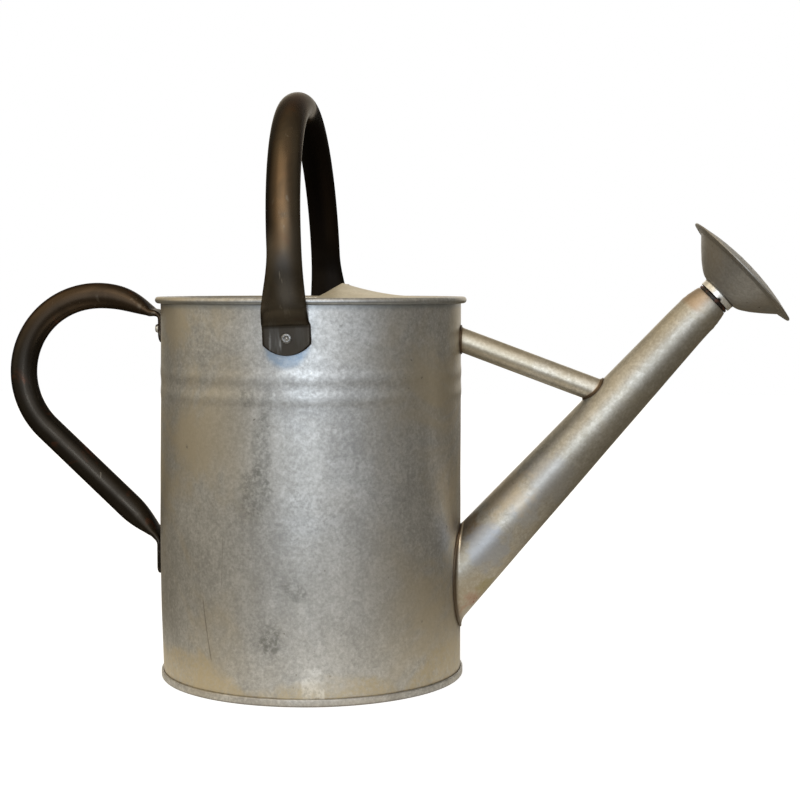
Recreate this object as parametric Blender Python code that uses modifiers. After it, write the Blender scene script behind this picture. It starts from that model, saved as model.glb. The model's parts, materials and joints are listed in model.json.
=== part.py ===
"""Galvanised steel watering can with two painted tube handles and a screw-on rose.

Metres, +Z up. The can stands on its bottom seam at z = 0, the spout points to +X and the
rear handle to -X. The whole can is shifted along X so that its outer box is centred on the
origin.
"""
import math

import bmesh
import bpy
from mathutils import Matrix, Vector

# General
GAP = 0.0003              # clearance between pieces that touch
SHEET = 0.0007            # galvanised sheet of the body, the base and the hood
CAN_STEPS = 40            # facets round the body
ROSE_STEPS = 32           # facets round the rose
SMALL_STEPS = 24          # facets round the spout, the nipple and the collar

# Body
BODY_R = 0.105            # outside of the wall
RIM_Z = 0.2639            # centre of the rolled rim
ROLL_D = 0.0046           # rolled rim, outside
ROLL_SWEEP = math.radians(292)
BEAD_DROPS = (0.0497, 0.0632)  # middles of the two swaged beads below the rim's centre
BEAD_HALF = 0.0065
BEAD_RISE = 0.0008
SIDE_SEAM_W = 0.009       # folded seam down the far side of the wall
SIDE_SEAM_RISE = 0.0006
SIDE_SEAM_AZIMUTH = math.radians(128)

# Base
BAND_H = 0.0052           # double seam round the foot
BAND_RISE = 0.0016
PAN_RAISE = 0.0075        # underside of the pan above the ground
WALL_TUCK = 0.0006        # the wall's foot flares out this far inside the seam

# Hood over the spout side of the mouth
HOOD_BACK = 0.022         # peak of the free edge, ahead of the can's axis
HOOD_CORNER = 0.0175      # ends of the free edge
HOOD_RISE = 0.0098
HOOD_SEAT = 0.0010        # edge of the hood below the top of the rim
HOOD_SKIRT = 0.006
HOOD_HOLLOW = 3.0         # how quickly the sheet falls away from the peak

# Spout
SPOUT_ANGLE = math.radians(48.05)
SPOUT_FOOT_Z = 0.0734     # its axis crosses the wall here
SPOUT_FOOT_R = 0.0229
SPOUT_TIP_R = 0.0141
SPOUT_LENGTH = 0.2572     # along the axis, from the wall
SPOUT_SHEET = 0.0008
SPOUT_FLARE = 0.0065
TIP_DROOP = math.radians(4.35)
TIP_DROOP_LENGTH = 0.030
TIP_SHOULDER = 0.0120

# Brace between the wall and the spout
BRACE_DROP = 0.0275       # its axis leaves the wall this far below the rim's centre
BRACE_ANGLE = math.radians(-20.4)
BRACE_R = 0.0083
BRACE_SHEET = 0.0008
BRACE_FLARE = 0.0022

# Threaded nipple in the spout's tip, and the rose
NIPPLE_WALL = 0.0025
NIPPLE_PLUG = 0.009
NIPPLE_SHOULDER = 0.0016
NIPPLE_STEP = 0.0005      # the shoulder stands out beyond the thread's crests
NIPPLE_LIP = 0.0002       # and this far inside the edge of the spout's mouth
THREAD_R = 0.0111         # middle of the thread's flanks
THREAD_DEPTH = 0.0006     # from there to a crest
COLLAR_START = 0.0036     # near end of the collar beyond the tip, as it is now screwed on
COLLAR_WALL = 0.00085
COLLAR_DEPTH = 0.0094
COLLAR_FLOOR = 0.0009
WASHER_T = 0.0016
ROSE_SHEET = 0.0006
ROSE_NECK = 0.0037        # length of the collar that shows below the bowl
BOWL_DEPTH = 0.0187
FLANGE_W = 0.0073
FLANGE_RISE = 0.0017
ROSE_R = 0.0460
DOME_RISE = 0.0061
HEM = 0.0035
HOLE_R = 0.0009
HOLE_RINGS = 4
HOLE_RING_STEP = 0.0085

# Handles
TUBE_WALL = 0.0010
FLAT_T = 0.0024           # both walls of a tube pressed flat
HANDLE_POINTS = 12
CORE_POINTS = 8
BAIL_TUBE_D = 0.0215
BAIL_SET = -0.0008        # pivot beside the can's axis
BAIL_PIVOT_DROP = 0.0237  # pivot below the rim's centre
BAIL_CLEAR = 0.00185      # between the rim and the upright legs
BAIL_ARCH_START = 0.057   # above the pivot
BAIL_ARCH_RISE = 0.100
BAIL_EAR_DROP = 0.0112
BAIL_EAR_TOP = 0.0085
EAR_ARC_R = 0.021
BAIL_EAR_STEP = 0.0020    # the tube opens by this much at once above the flat ear
BAIL_PINCH = 0.050
BAIL_PINCH_POWER = 1.6    # the leg opens slowly at first
BAIL_LEAN = math.radians(-2.85)
BAIL_SKEW = 0.0031        # one leg pulled forward and the other back
REAR_TUBE_D = 0.0190
REAR_REACH = 0.0485       # middle of the bow behind the wall
REAR_BOW_R = 0.0640       # outside of the bow
REAR_RUN_ANGLE = math.radians(-42.9)
REAR_RIVET_DROP = 0.0203  # upper rivet below the rim's centre
REAR_EAR_RISE = 0.0151    # from the upper rivet to where the bow leaves the wall
REAR_EAR_FALL = 0.0168    # from where the straight run meets the wall to the lower rivet
REAR_EAR_DROP = 0.0100
REAR_NECK = 0.018         # the bow dips into its upper ear over this length
REAR_NECK_DIP = 0.0022
REAR_UPPER_PINCH = 0.042
REAR_UPPER_POWER = 0.75   # the upper end opens fast at first
REAR_LOWER_PINCH = 0.031

# Blind rivets
RIVET_R = 0.0016
RIVET_HEAD_R = 0.0034
RIVET_HEAD_H = 0.0013
RIVET_BULB_R = 0.0024
RIVET_BULB_H = 0.0030
MANDREL_R = 0.0009
RIVET_STEPS = 12

# Values that follow from those above
WALL_IN = BODY_R - SHEET
ROLL_R = ROLL_D / 2
ROLL_CENTRE = WALL_IN + ROLL_R
RIM_TOP = RIM_Z + ROLL_R
RIM_OUT = ROLL_CENTRE + ROLL_R
BEAD_Z = tuple(RIM_Z - drop for drop in BEAD_DROPS)
BRACE_Z = RIM_Z - BRACE_DROP
BAIL_PIVOT_Z = RIM_Z - BAIL_PIVOT_DROP
BAIL_SPREAD = RIM_OUT + BAIL_CLEAR + BAIL_TUBE_D / 2
EAR_PLANE = BODY_R + GAP + FLAT_T / 2
FACET = math.cos(math.pi / CAN_STEPS)
SPOUT_DIR = Vector((math.cos(SPOUT_ANGLE), 0, math.sin(SPOUT_ANGLE)))
SPOUT_UP = Vector((-math.sin(SPOUT_ANGLE), 0, math.cos(SPOUT_ANGLE)))
SPOUT_START = Vector((BODY_R, 0, SPOUT_FOOT_Z))
TIP_ANGLE = SPOUT_ANGLE - TIP_DROOP
MOUTH_END = SPOUT_LENGTH - SPOUT_SHEET
NIPPLE_BORE_R = THREAD_R - NIPPLE_WALL
NIPPLE_SHOULDER_R = THREAD_R + THREAD_DEPTH + NIPPLE_STEP
TIP_MOUTH_R = NIPPLE_SHOULDER_R + NIPPLE_LIP
COLLAR_BORE_R = THREAD_R + THREAD_DEPTH + GAP
COLLAR_R = COLLAR_BORE_R + COLLAR_WALL
WASHER_HOLE_R = NIPPLE_BORE_R
BOWL_MOUTH_R = ROSE_R - ROSE_SHEET - GAP - FLANGE_W


def spout_axis(t):
    """Point and direction of the spout's middle line, t along it from the wall."""
    over = max(0.0, t - (SPOUT_LENGTH - TIP_DROOP_LENGTH))
    turn = TIP_DROOP * over / TIP_DROOP_LENGTH
    point = SPOUT_START + SPOUT_DIR * t - SPOUT_UP * (over * turn / 2)
    angle = SPOUT_ANGLE - turn
    return point, Vector((math.cos(angle), 0, math.sin(angle)))


def spout_radius(t):
    """Outside radius of the spout: a cone that rounds in at its mouth."""
    cone = SPOUT_FOOT_R + (SPOUT_TIP_R - SPOUT_FOOT_R) * t / SPOUT_LENGTH
    over = (t - (MOUTH_END - TIP_SHOULDER)) / TIP_SHOULDER
    if over <= 0:
        return cone
    return TIP_MOUTH_R + (cone - TIP_MOUTH_R) * math.sqrt(max(0.0, 1 - min(over, 1) ** 2))


TIP, TIP_DIR = spout_axis(SPOUT_LENGTH)
ROSE_FLANGE_U = COLLAR_START + ROSE_NECK + BOWL_DEPTH
ROSE_RIM_U = ROSE_FLANGE_U + FLANGE_RISE + ROSE_SHEET + GAP
FRONT_REACH = TIP.x + ROSE_RIM_U * math.cos(TIP_ANGLE) + ROSE_R * math.sin(TIP_ANGLE)
BACK_REACH = BODY_R + REAR_REACH + REAR_BOW_R
CAN_X = (BACK_REACH - FRONT_REACH) / 2


def clear_scene():
    for old in list(bpy.data.objects):
        bpy.data.objects.remove(old, do_unlink=True)


def new_collection(name):
    made = bpy.data.collections.new(name)
    bpy.context.scene.collection.children.link(made)
    return made


def make_material(name, colour, roughness, metallic):
    made = bpy.data.materials.new(name)
    made.use_nodes = True
    shader = made.node_tree.nodes["Principled BSDF"]
    shader.inputs["Base Color"].default_value = (*colour, 1)
    shader.inputs["Roughness"].default_value = roughness
    shader.inputs["Metallic"].default_value = metallic
    made.diffuse_color = (*colour, 1)
    return made


clear_scene()
PARTS = new_collection("watering_can")
CUTTERS = new_collection("cutters")
GALVANISED = make_material("galvanised_body", (0.42, 0.40, 0.35), 0.45, 0.85)
BASE_ZINC = make_material("galvanised_base", (0.38, 0.36, 0.31), 0.5, 0.85)
HOOD_ZINC = make_material("galvanised_hood", (0.50, 0.44, 0.32), 0.5, 0.8)
SPOUT_ZINC = make_material("galvanised_spout", (0.46, 0.42, 0.36), 0.35, 0.9)
ROSE_ZINC = make_material("galvanised_rose", (0.30, 0.28, 0.24), 0.5, 0.8)
BRIGHT_ZINC = make_material("bright_zinc", (0.66, 0.65, 0.62), 0.25, 1.0)
WIRE_STEEL = make_material("wire_steel", (0.35, 0.34, 0.32), 0.4, 1.0)
HANDLE_PAINT = make_material("bronze_paint", (0.035, 0.026, 0.020), 0.35, 0.3)
DARK_THREAD = make_material("dark_thread", (0.02, 0.014, 0.010), 0.4, 0.2)
RUBBER = make_material("rubber", (0.015, 0.015, 0.015), 0.8, 0.0)


def make_empty(name, location, rotation_y=0.0, parent=None):
    made = bpy.data.objects.new(name, None)
    made.location = location
    made.rotation_euler = (0, rotation_y, 0)
    made.parent = parent
    PARTS.objects.link(made)
    return made


CAN = make_empty("can_frame", (CAN_X, 0, 0))
BAIL = make_empty("bail_pivot", (BAIL_SET, 0, BAIL_PIVOT_Z), BAIL_LEAN, CAN)
ROSE = make_empty("rose_axis", TIP, math.pi / 2 - TIP_ANGLE, CAN)


def add_part(name, mesh, material, parent):
    made = bpy.data.objects.new(name, mesh)
    made.data.materials.append(material)
    made.parent = parent
    PARTS.objects.link(made)
    return made


def add_cutter(name, mesh, parent=None):
    made = bpy.data.objects.new(name, mesh)
    made.parent = parent
    made.hide_render = True
    made.display_type = "WIRE"
    CUTTERS.objects.link(made)
    return made


def cut(target, cutter, operation="DIFFERENCE"):
    made = target.modifiers.new(cutter.name, "BOOLEAN")
    made.operation = operation
    made.object = cutter
    made.solver = "EXACT"


def smooth(mesh, angle=35):
    mesh.shade_smooth()
    mesh.set_sharp_from_angle(angle=math.radians(angle))


def profile_mesh(name, points, closed):
    """Edges through (radius, height) points, for a Screw modifier."""
    count = len(points)
    edges = [(i, i + 1) for i in range(count - 1)]
    if closed:
        edges.append((count - 1, 0))
    mesh = bpy.data.meshes.new(name)
    mesh.from_pydata([(r, 0, z) for r, z in points], edges, [])
    return mesh


def turn(obj, steps, angle=2 * math.pi):
    made = obj.modifiers.new("turn", "SCREW")
    made.axis = "Z"
    made.angle = angle
    made.steps = steps
    made.render_steps = steps
    made.use_merge_vertices = angle == 2 * math.pi
    made.merge_threshold = 0.00001
    made.use_smooth_shade = True


def thicken(obj, thickness, offset):
    made = obj.modifiers.new("sheet", "SOLIDIFY")
    made.thickness = thickness
    made.offset = offset
    made.use_even_offset = True


def turned_part(name, points, steps, material, parent):
    made = add_part(name, profile_mesh(name, points, True), material, parent)
    turn(made, steps)
    return made


def rings_mesh(name, rings, capped):
    """Surface through rings of equal count, each running counter-clockwise round its axis."""
    build = bmesh.new()
    rows = [[build.verts.new(p) for p in ring] for ring in rings]
    count = len(rings[0])
    for low, high in zip(rows, rows[1:]):
        for k in range(count):
            nxt = (k + 1) % count
            build.faces.new((low[k], low[nxt], high[nxt], high[k]))
    if capped:
        build.faces.new(list(reversed(rows[0])))
        build.faces.new(rows[-1])
    mesh = bpy.data.meshes.new(name)
    build.to_mesh(mesh)
    build.free()
    smooth(mesh)
    return mesh


def circle(centre, direction, radius, count):
    """Ring of points round a line in the can's middle plane."""
    side = Vector((0, 1, 0))
    up = direction.cross(side)
    ring = []
    for k in range(count):
        angle = 2 * math.pi * k / count
        ring.append(centre + (up * math.cos(angle) - side * math.sin(angle)) * -radius)
    return ring


def rod_mesh(name, start, end, radius, count, end_radius=None):
    """Closed cylinder or cone between two points."""
    axis = Vector(end) - Vector(start)
    build = bmesh.new()
    bmesh.ops.create_cone(
        build, cap_ends=True, segments=count, radius1=radius,
        radius2=radius if end_radius is None else end_radius, depth=axis.length)
    turn_to = Vector((0, 0, 1)).rotation_difference(axis.normalized()).to_matrix().to_4x4()
    middle = Matrix.Translation((Vector(start) + Vector(end)) / 2)
    bmesh.ops.transform(build, matrix=middle @ turn_to, verts=build.verts)
    mesh = bpy.data.meshes.new(name)
    build.to_mesh(mesh)
    build.free()
    return mesh


def bead(z):
    """How far the swaged beads push the wall out at height z."""
    rise = 0.0
    for middle in BEAD_Z:
        away = abs(z - middle) / BEAD_HALF
        if away < 1:
            rise += BEAD_RISE * (1 + math.cos(math.pi * away)) / 2
    return rise


def wall_line(top, bottom):
    """(radius, height) points down the wall's inner face, denser over the beads."""
    heights = [top]
    for middle in sorted(BEAD_Z, reverse=True):
        heights += [middle + BEAD_HALF * step for step in (1, 0.4, -0.4)]
    heights += [min(BEAD_Z) - BEAD_HALF, bottom]
    return [(WALL_IN + bead(z), z) for z in heights]


def make_body():
    """Rolled wall with swaged beads, its top edge curled over the rim wire."""
    curl = []
    steps = 6
    for k in range(steps):
        angle = math.pi - ROLL_SWEEP * (1 - k / steps)
        curl.append((ROLL_CENTRE + ROLL_R * math.cos(angle), RIM_Z + ROLL_R * math.sin(angle)))
    tuck = SHEET + GAP
    foot = [(WALL_IN + WALL_TUCK, tuck)]
    points = curl + wall_line(RIM_Z, tuck + 0.0012) + foot
    body = add_part("body_wall", profile_mesh("body_wall", points, False), GALVANISED, CAN)
    turn(body, CAN_STEPS)
    thicken(body, SHEET, 1)
    return body


def make_side_seam():
    """Strip that stands out where the wall's two edges are folded together."""
    line = wall_line(RIM_Z - ROLL_R - 4 * GAP, BAND_H + 4 * GAP)
    mesh = profile_mesh("side_seam", [(r + SHEET / 2, z) for r, z in line], False)
    seam = add_cutter("side_seam", mesh, CAN)
    angle = SIDE_SEAM_W / BODY_R
    turn(seam, 2, angle)
    thicken(seam, SHEET / 2 + SIDE_SEAM_RISE, 1)
    seam.rotation_euler = (0, 0, SIDE_SEAM_AZIMUTH)
    return seam


def make_base():
    """Raised pan whose edge wraps the foot of the wall in a double seam."""
    out = BODY_R + BAND_RISE
    inner = WALL_IN * FACET - GAP
    lip = BODY_R + GAP
    points = [
        (0, PAN_RAISE + SHEET), (0, PAN_RAISE),
        (inner - SHEET, PAN_RAISE), (inner - SHEET, SHEET / 2), (inner - SHEET / 2, 0),
        (out - SHEET, 0), (out, SHEET), (out, BAND_H - SHEET), (out - SHEET, BAND_H),
        (lip, BAND_H), (lip, BAND_H - SHEET), (out - SHEET, BAND_H - 2 * SHEET),
        (out - SHEET, SHEET), (inner, SHEET), (inner, PAN_RAISE + SHEET),
    ]
    points.reverse()
    return turned_part("base_pan", points, CAN_STEPS, BASE_ZINC, CAN)


def make_rim_wire():
    build_r = ROLL_R - SHEET - GAP
    points = []
    sides = 5
    for k in range(sides):
        angle = -2 * math.pi * k / sides
        points.append((ROLL_CENTRE + build_r * math.cos(angle), RIM_Z + build_r * math.sin(angle)))
    return turned_part("rim_wire", points, CAN_STEPS, WIRE_STEEL, CAN)


def make_hood():
    """Half cover, one sheet that rises to a peak at the middle of its free edge."""
    rim_r = WALL_IN * FACET - GAP - SHEET
    level = RIM_TOP - HOOD_SEAT
    end = math.acos(HOOD_CORNER / rim_r)
    across = 22
    falls = (0.0, 0.08, 0.19, 0.36, 0.60, 0.86, 1.0)
    peak = Vector((HOOD_BACK, 0, 0))
    build = bmesh.new()
    rows = []
    for k in range(across + 1):
        angle = -end + 2 * end * k / across
        rim = Vector((rim_r * math.cos(angle), rim_r * math.sin(angle), 0))
        ray = (rim - peak).normalized()
        fall = 1 + HOOD_HOLLOW * max(0.0, ray.x) ** 2
        row = []
        for s in falls[1:]:
            place = peak.lerp(rim, s)
            row.append(build.verts.new((place.x, place.y, level + HOOD_RISE * (1 - s) ** fall)))
        row.append(build.verts.new((rim.x, rim.y, level - HOOD_SKIRT)))
        rows.append(row)
    top = build.verts.new((HOOD_BACK, 0, level + HOOD_RISE))
    for low, high in zip(rows, rows[1:]):
        build.faces.new((top, low[0], high[0]))
        for a, b, c, d in zip(low, low[1:], high[1:], high):
            build.faces.new((a, b, c, d))
    mesh = bpy.data.meshes.new("hood")
    build.to_mesh(mesh)
    build.free()
    smooth(mesh, 60)
    hood = add_part("hood", mesh, HOOD_ZINC, CAN)
    thicken(hood, SHEET, 1)
    return hood


def cylinder_surface(radius):
    """Signed distance and outward normal of an upright cylinder round the can's axis."""
    def read(point):
        flat = Vector((point.x, point.y, 0))
        return flat.length - radius, flat.normalized()
    return read


def spout_surface(clearance):
    """Signed distance and outward normal of the spout's cone, grown by a clearance."""
    slope = (SPOUT_FOOT_R - SPOUT_TIP_R) / SPOUT_LENGTH
    tilt = math.cos(math.atan(slope))

    def read(point):
        along = (point - SPOUT_START).dot(SPOUT_DIR)
        away = point - SPOUT_START - SPOUT_DIR * along
        radius = SPOUT_FOOT_R - slope * along
        normal = (away.normalized() + SPOUT_DIR * slope) * tilt
        return (away.length - radius) * tilt - clearance, normal
    return read


def meet(start, direction, surface, span):
    """Point of a line that lies on a surface, looked for between start and start + span."""
    near, far = 0.0, span
    for _ in range(50):
        middle = (near + far) / 2
        if surface(start + direction * middle)[0] > 0:
            far = middle
        else:
            near = middle
    return start + direction * far


def flared_end(generators, surface, span, flare, steps=3):
    """Rings that leave a surface flat on it and turn into a tube, nearest the surface first.

    generators holds a start inside the surface and a unit direction for each line of the tube.
    """
    hits = [meet(start, direction, surface, span) for start, direction in generators]
    count = len(hits)
    centre = sum(hits, Vector()) / count
    rings = [[] for _ in range(steps + 1)]
    for k, hit in enumerate(hits):
        normal = surface(hit)[1]
        along = (hits[(k + 1) % count] - hits[k - 1]).normalized()
        outward = along.cross(normal).normalized()
        if outward.dot(hit - centre) < 0:
            outward = -outward
        foot = hit + outward * flare
        away, normal = surface(foot)
        foot = foot - normal * away
        above = hit + generators[k][1] * flare
        for i in range(steps + 1):
            s = i / steps
            rings[i].append(foot * (1 - s) ** 2 + hit * (2 * s * (1 - s)) + above * s ** 2)
    return rings


def make_spout():
    """Tapered tube: a flange on the wall, a cone, and a mouth that rounds in."""
    inner_foot = circle(*spout_axis(-SPOUT_FOOT_R * 2), spout_radius(-SPOUT_FOOT_R * 2) - SPOUT_SHEET,
                        SMALL_STEPS)
    inner_far = circle(*spout_axis(SPOUT_LENGTH / 2), spout_radius(SPOUT_LENGTH / 2) - SPOUT_SHEET,
                       SMALL_STEPS)
    lines = [(a, (b - a).normalized()) for a, b in zip(inner_foot, inner_far)]
    rings = flared_end(lines, cylinder_surface(BODY_R + GAP), SPOUT_LENGTH / 2, SPOUT_FLARE)
    straight_end = SPOUT_LENGTH - TIP_DROOP_LENGTH
    stations = [straight_end, straight_end + TIP_DROOP_LENGTH * 0.4,
                MOUTH_END - TIP_SHOULDER]
    stations += [MOUTH_END - TIP_SHOULDER * (1 - math.sin(a)) for a in (0.6, 1.0, 1.3)]
    stations.append(MOUTH_END)
    for t in stations:
        centre, direction = spout_axis(t)
        rings.append(circle(centre, direction, spout_radius(t) - SPOUT_SHEET, SMALL_STEPS))
    spout = add_part("spout", rings_mesh("spout", rings, False), SPOUT_ZINC, CAN)
    thicken(spout, SPOUT_SHEET, 1)
    return spout


def make_spout_bore():
    """Cutter for the hole through the wall under the spout, a ledge smaller than the bore."""
    low, high = -SPOUT_FOOT_R * 2.2, SPOUT_FOOT_R * 2.2
    ledge = SPOUT_SHEET + 2 * GAP
    return add_cutter("spout_bore", rod_mesh(
        "spout_bore", spout_axis(low)[0], spout_axis(high)[0], spout_radius(low) - ledge,
        SMALL_STEPS, spout_radius(high) - ledge), CAN)


def make_brace():
    """Tube from the wall down to the spout, both ends flared on to what they are soldered to."""
    direction = Vector((math.cos(BRACE_ANGLE), 0, math.sin(BRACE_ANGLE)))
    start = Vector((BODY_R, 0, BRACE_Z)) - direction * BRACE_R * 3
    inner = BRACE_R - BRACE_SHEET
    count = 16
    base = circle(start, direction, inner, count)
    wall_end = flared_end([(p, direction) for p in base], cylinder_surface(BODY_R + GAP),
                          BRACE_R * 6, BRACE_FLARE)
    across = SPOUT_START - start
    reach = across.dot(SPOUT_UP) / direction.dot(SPOUT_UP)
    far = [p + direction * reach for p in base]
    spout_end = flared_end([(p, -direction) for p in far], spout_surface(GAP), reach,
                           BRACE_FLARE)
    rings = wall_end + list(reversed(spout_end))
    brace = add_part("brace", rings_mesh("brace", rings, False), SPOUT_ZINC, CAN)
    thicken(brace, BRACE_SHEET, 1)
    return brace


def make_nipple():
    """Threaded end held in the spout's mouth. Its thread is finer than these facets."""
    plug = TIP_MOUTH_R - SPOUT_SHEET - 1.5 * GAP
    chamfer = NIPPLE_WALL / 5
    top = nipple_end()
    points = [
        (NIPPLE_BORE_R, top), (THREAD_R - chamfer, top), (THREAD_R, top - chamfer),
        (THREAD_R, GAP + NIPPLE_SHOULDER), (NIPPLE_SHOULDER_R, GAP + NIPPLE_SHOULDER),
        (NIPPLE_SHOULDER_R, GAP), (plug, GAP), (plug, -NIPPLE_PLUG), (NIPPLE_BORE_R, -NIPPLE_PLUG),
    ]
    return turned_part("threaded_nipple", points, SMALL_STEPS, DARK_THREAD, ROSE)


def collar_floor():
    """Height of the underside of the collar's floor above the spout's tip."""
    return COLLAR_START + COLLAR_DEPTH


def tighten_travel():
    """How much further the rose can be screwed on, until the collar meets the shoulder."""
    return COLLAR_START - GAP - NIPPLE_SHOULDER - GAP


def nipple_end():
    return collar_floor() - GAP - WASHER_T - GAP - tighten_travel()


def make_washer():
    top = collar_floor() - GAP
    outer = COLLAR_BORE_R - GAP
    points = [(WASHER_HOLE_R, top), (outer, top), (outer, top - WASHER_T),
              (WASHER_HOLE_R, top - WASHER_T)]
    return turned_part("rose_washer", points, SMALL_STEPS, RUBBER, ROSE)


def make_collar():
    """Screwed cap of the rose, with a floor that the washer lies against."""
    low, floor = COLLAR_START, collar_floor()
    top = floor + COLLAR_FLOOR
    chamfer = COLLAR_WALL / 2
    points = [
        (WASHER_HOLE_R, top), (COLLAR_R - chamfer, top), (COLLAR_R, top - chamfer),
        (COLLAR_R, low + chamfer), (COLLAR_R - chamfer, low),
        (COLLAR_BORE_R, low), (COLLAR_BORE_R, floor), (WASHER_HOLE_R, floor),
    ]
    return turned_part("rose_collar", points, SMALL_STEPS, BRIGHT_ZINC, ROSE)


def flange_edge():
    """Radius and height of the back face of the bowl's flange at its edge."""
    return ROSE_R - ROSE_SHEET - GAP, ROSE_FLANGE_U + FLANGE_RISE


def make_rose_back():
    """Bowl of the rose, soldered round the collar, with a flat flange at its mouth."""
    low = COLLAR_START + ROSE_NECK
    neck = COLLAR_R + GAP
    edge_r, edge_u = flange_edge()
    belly = [(0.0, 0.0), (0.10, 0.02), (0.22, 0.10), (0.44, 0.31), (0.72, 0.64), (1.0, 1.0)]
    points = [(neck + (BOWL_MOUTH_R - neck) * r, low + BOWL_DEPTH * u) for r, u in belly]
    points.append((edge_r, edge_u))
    points.reverse()
    back = add_part("rose_back", profile_mesh("rose_back", points, False), ROSE_ZINC, ROSE)
    turn(back, ROSE_STEPS)
    thicken(back, ROSE_SHEET, -1)
    return back


def make_rose_face():
    """Domed and perforated face, hemmed over the bowl's flange."""
    edge_r, edge_u = flange_edge()
    slope = FLANGE_RISE / (edge_r - BOWL_MOUTH_R)
    rim_u = edge_u + 2 * ROSE_SHEET + GAP
    dome_r = (ROSE_R ** 2 + DOME_RISE ** 2) / (2 * DOME_RISE)
    rings = 5

    def dome(radius, sink):
        return rim_u + DOME_RISE - dome_r + math.sqrt((dome_r - sink) ** 2 - radius ** 2)

    hem_r = ROSE_R - HEM
    under = edge_u - GAP
    outer = [(ROSE_R * k / rings, dome(ROSE_R * k / rings, 0)) for k in range(rings)]
    fold = [
        (ROSE_R - ROSE_SHEET / 2, rim_u), (ROSE_R, rim_u - ROSE_SHEET / 2),
        (ROSE_R, under - ROSE_SHEET / 2), (ROSE_R - ROSE_SHEET / 2, under - ROSE_SHEET),
        (hem_r, under - ROSE_SHEET - slope * HEM), (hem_r, under - slope * HEM),
        (ROSE_R - ROSE_SHEET, under), (ROSE_R - ROSE_SHEET, edge_u + ROSE_SHEET + GAP),
    ]
    inside_r = [ROSE_R * k / rings for k in range(rings - 1, -1, -1)]
    inner = [(r, dome(r, ROSE_SHEET)) for r in inside_r]
    points = outer + fold + inner
    face = turned_part("rose_face", points, ROSE_STEPS, ROSE_ZINC, ROSE)
    cut(face, make_perforation(dome, dome_r))
    return face


def make_perforation(dome, dome_r):
    """Pins that punch the rings of holes, each square to the dome."""
    build = bmesh.new()
    length = ROSE_SHEET * 6
    for ring in range(HOLE_RINGS + 1):
        count = max(1, 6 * ring)
        radius = ring * HOLE_RING_STEP
        for k in range(count):
            angle = 2 * math.pi * (k + 0.5 * (ring % 2)) / count
            place = Vector((radius * math.cos(angle), radius * math.sin(angle), dome(radius, 0)))
            out = place - Vector((0, 0, dome(0, 0) - dome_r))
            square = Vector((0, 0, 1)).rotation_difference(out.normalized()).to_matrix().to_4x4()
            bmesh.ops.create_cone(build, cap_ends=True, segments=6, radius1=HOLE_R,
                                  radius2=HOLE_R, depth=length,
                                  matrix=Matrix.Translation(place) @ square)
    mesh = bpy.data.meshes.new("perforation")
    build.to_mesh(mesh)
    build.free()
    return add_cutter("perforation", mesh, ROSE)


def stadium(width, thick, count):
    """Section of a tube pressed to a thickness: a circle when width equals thick."""
    section = []
    for k in range(count):
        angle = 2 * math.pi * (k + 0.5) / count
        across = math.cos(angle) * thick / 2 + math.copysign((width - thick) / 2, math.cos(angle))
        section.append((across, math.sin(angle) * thick / 2))
    return section


def pressed_width(diameter, thick):
    """Width of a round tube pressed to a thickness, its girth unchanged."""
    return thick + math.pi * (diameter - thick) / 2


def sweep(name, stations, diameter, inset, count, across):
    """Loft of pressed sections along stations of (centre, direction, thickness)."""
    rings = []
    for centre, direction, thick in stations:
        outward = direction.cross(across).normalized()
        width = pressed_width(diameter, thick) - 2 * inset
        ring = [centre + across * a + outward * b
                for a, b in stadium(width, thick - 2 * inset, count)]
        rings.append(ring)
    return rings_mesh(name, rings, True)


def directed(path):
    """Adds to each (centre, thickness) the direction of travel there."""
    stations = []
    for k, (centre, thick) in enumerate(path):
        before = path[max(k - 1, 0)][0]
        after = path[min(k + 1, len(path) - 1)][0]
        stations.append((centre, (after - before).normalized(), thick))
    return stations


def extended(stations, length):
    """Stations with both ends carried on, for a core that breaks out of the ends."""
    first, last = stations[0], stations[-1]
    start = (first[0] - first[1] * length, first[1], first[2])
    end = (last[0] + last[1] * length, last[1], last[2])
    return [start] + stations[1:-1] + [end]


def pinch(distance, length, diameter, step=0.0, power=1.0):
    """Thickness of a tube that opens by a step and then grows to round over a length."""
    if distance <= 0:
        return FLAT_T
    share = min(distance / length, 1.0)
    return FLAT_T + step + (diameter - FLAT_T - step) * math.sin(math.pi / 2 * share) ** power


def ease(value):
    value = min(max(value, 0.0), 1.0)
    return value * value * (3 - 2 * value)


def bail_leg():
    """(y, height, thickness) from the near ear's end up the leg, pivot at height 0."""
    face = BODY_R + GAP
    clear = RIM_OUT + 2 * GAP
    leg_face = RIM_OUT + BAIL_CLEAR
    rim_h = BAIL_PIVOT_DROP - ROLL_R
    span = rim_h - 2 * GAP - BAIL_EAR_TOP
    heights = [-BAIL_EAR_DROP - FLAT_T, 0.0, BAIL_EAR_TOP]
    heights += [BAIL_EAR_TOP + span * s for s in (0.12, 0.4, 0.65, 0.9)]
    heights += [rim_h + (BAIL_ARCH_START - rim_h) * s for s in (0.12, 0.35, 0.6, 0.85)]
    leg = []
    for h in heights:
        thick = bail_thickness(h)
        inside = face + (clear - face) * ease((h - BAIL_EAR_TOP) / span)
        inside += (leg_face - clear) * ease((h - rim_h) / (BAIL_ARCH_START - rim_h))
        leg.append((inside + thick / 2, h, thick))
    return leg


def bail_thickness(height):
    return pinch(height - BAIL_EAR_TOP, BAIL_PINCH, BAIL_TUBE_D, BAIL_EAR_STEP,
                 BAIL_PINCH_POWER)


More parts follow.
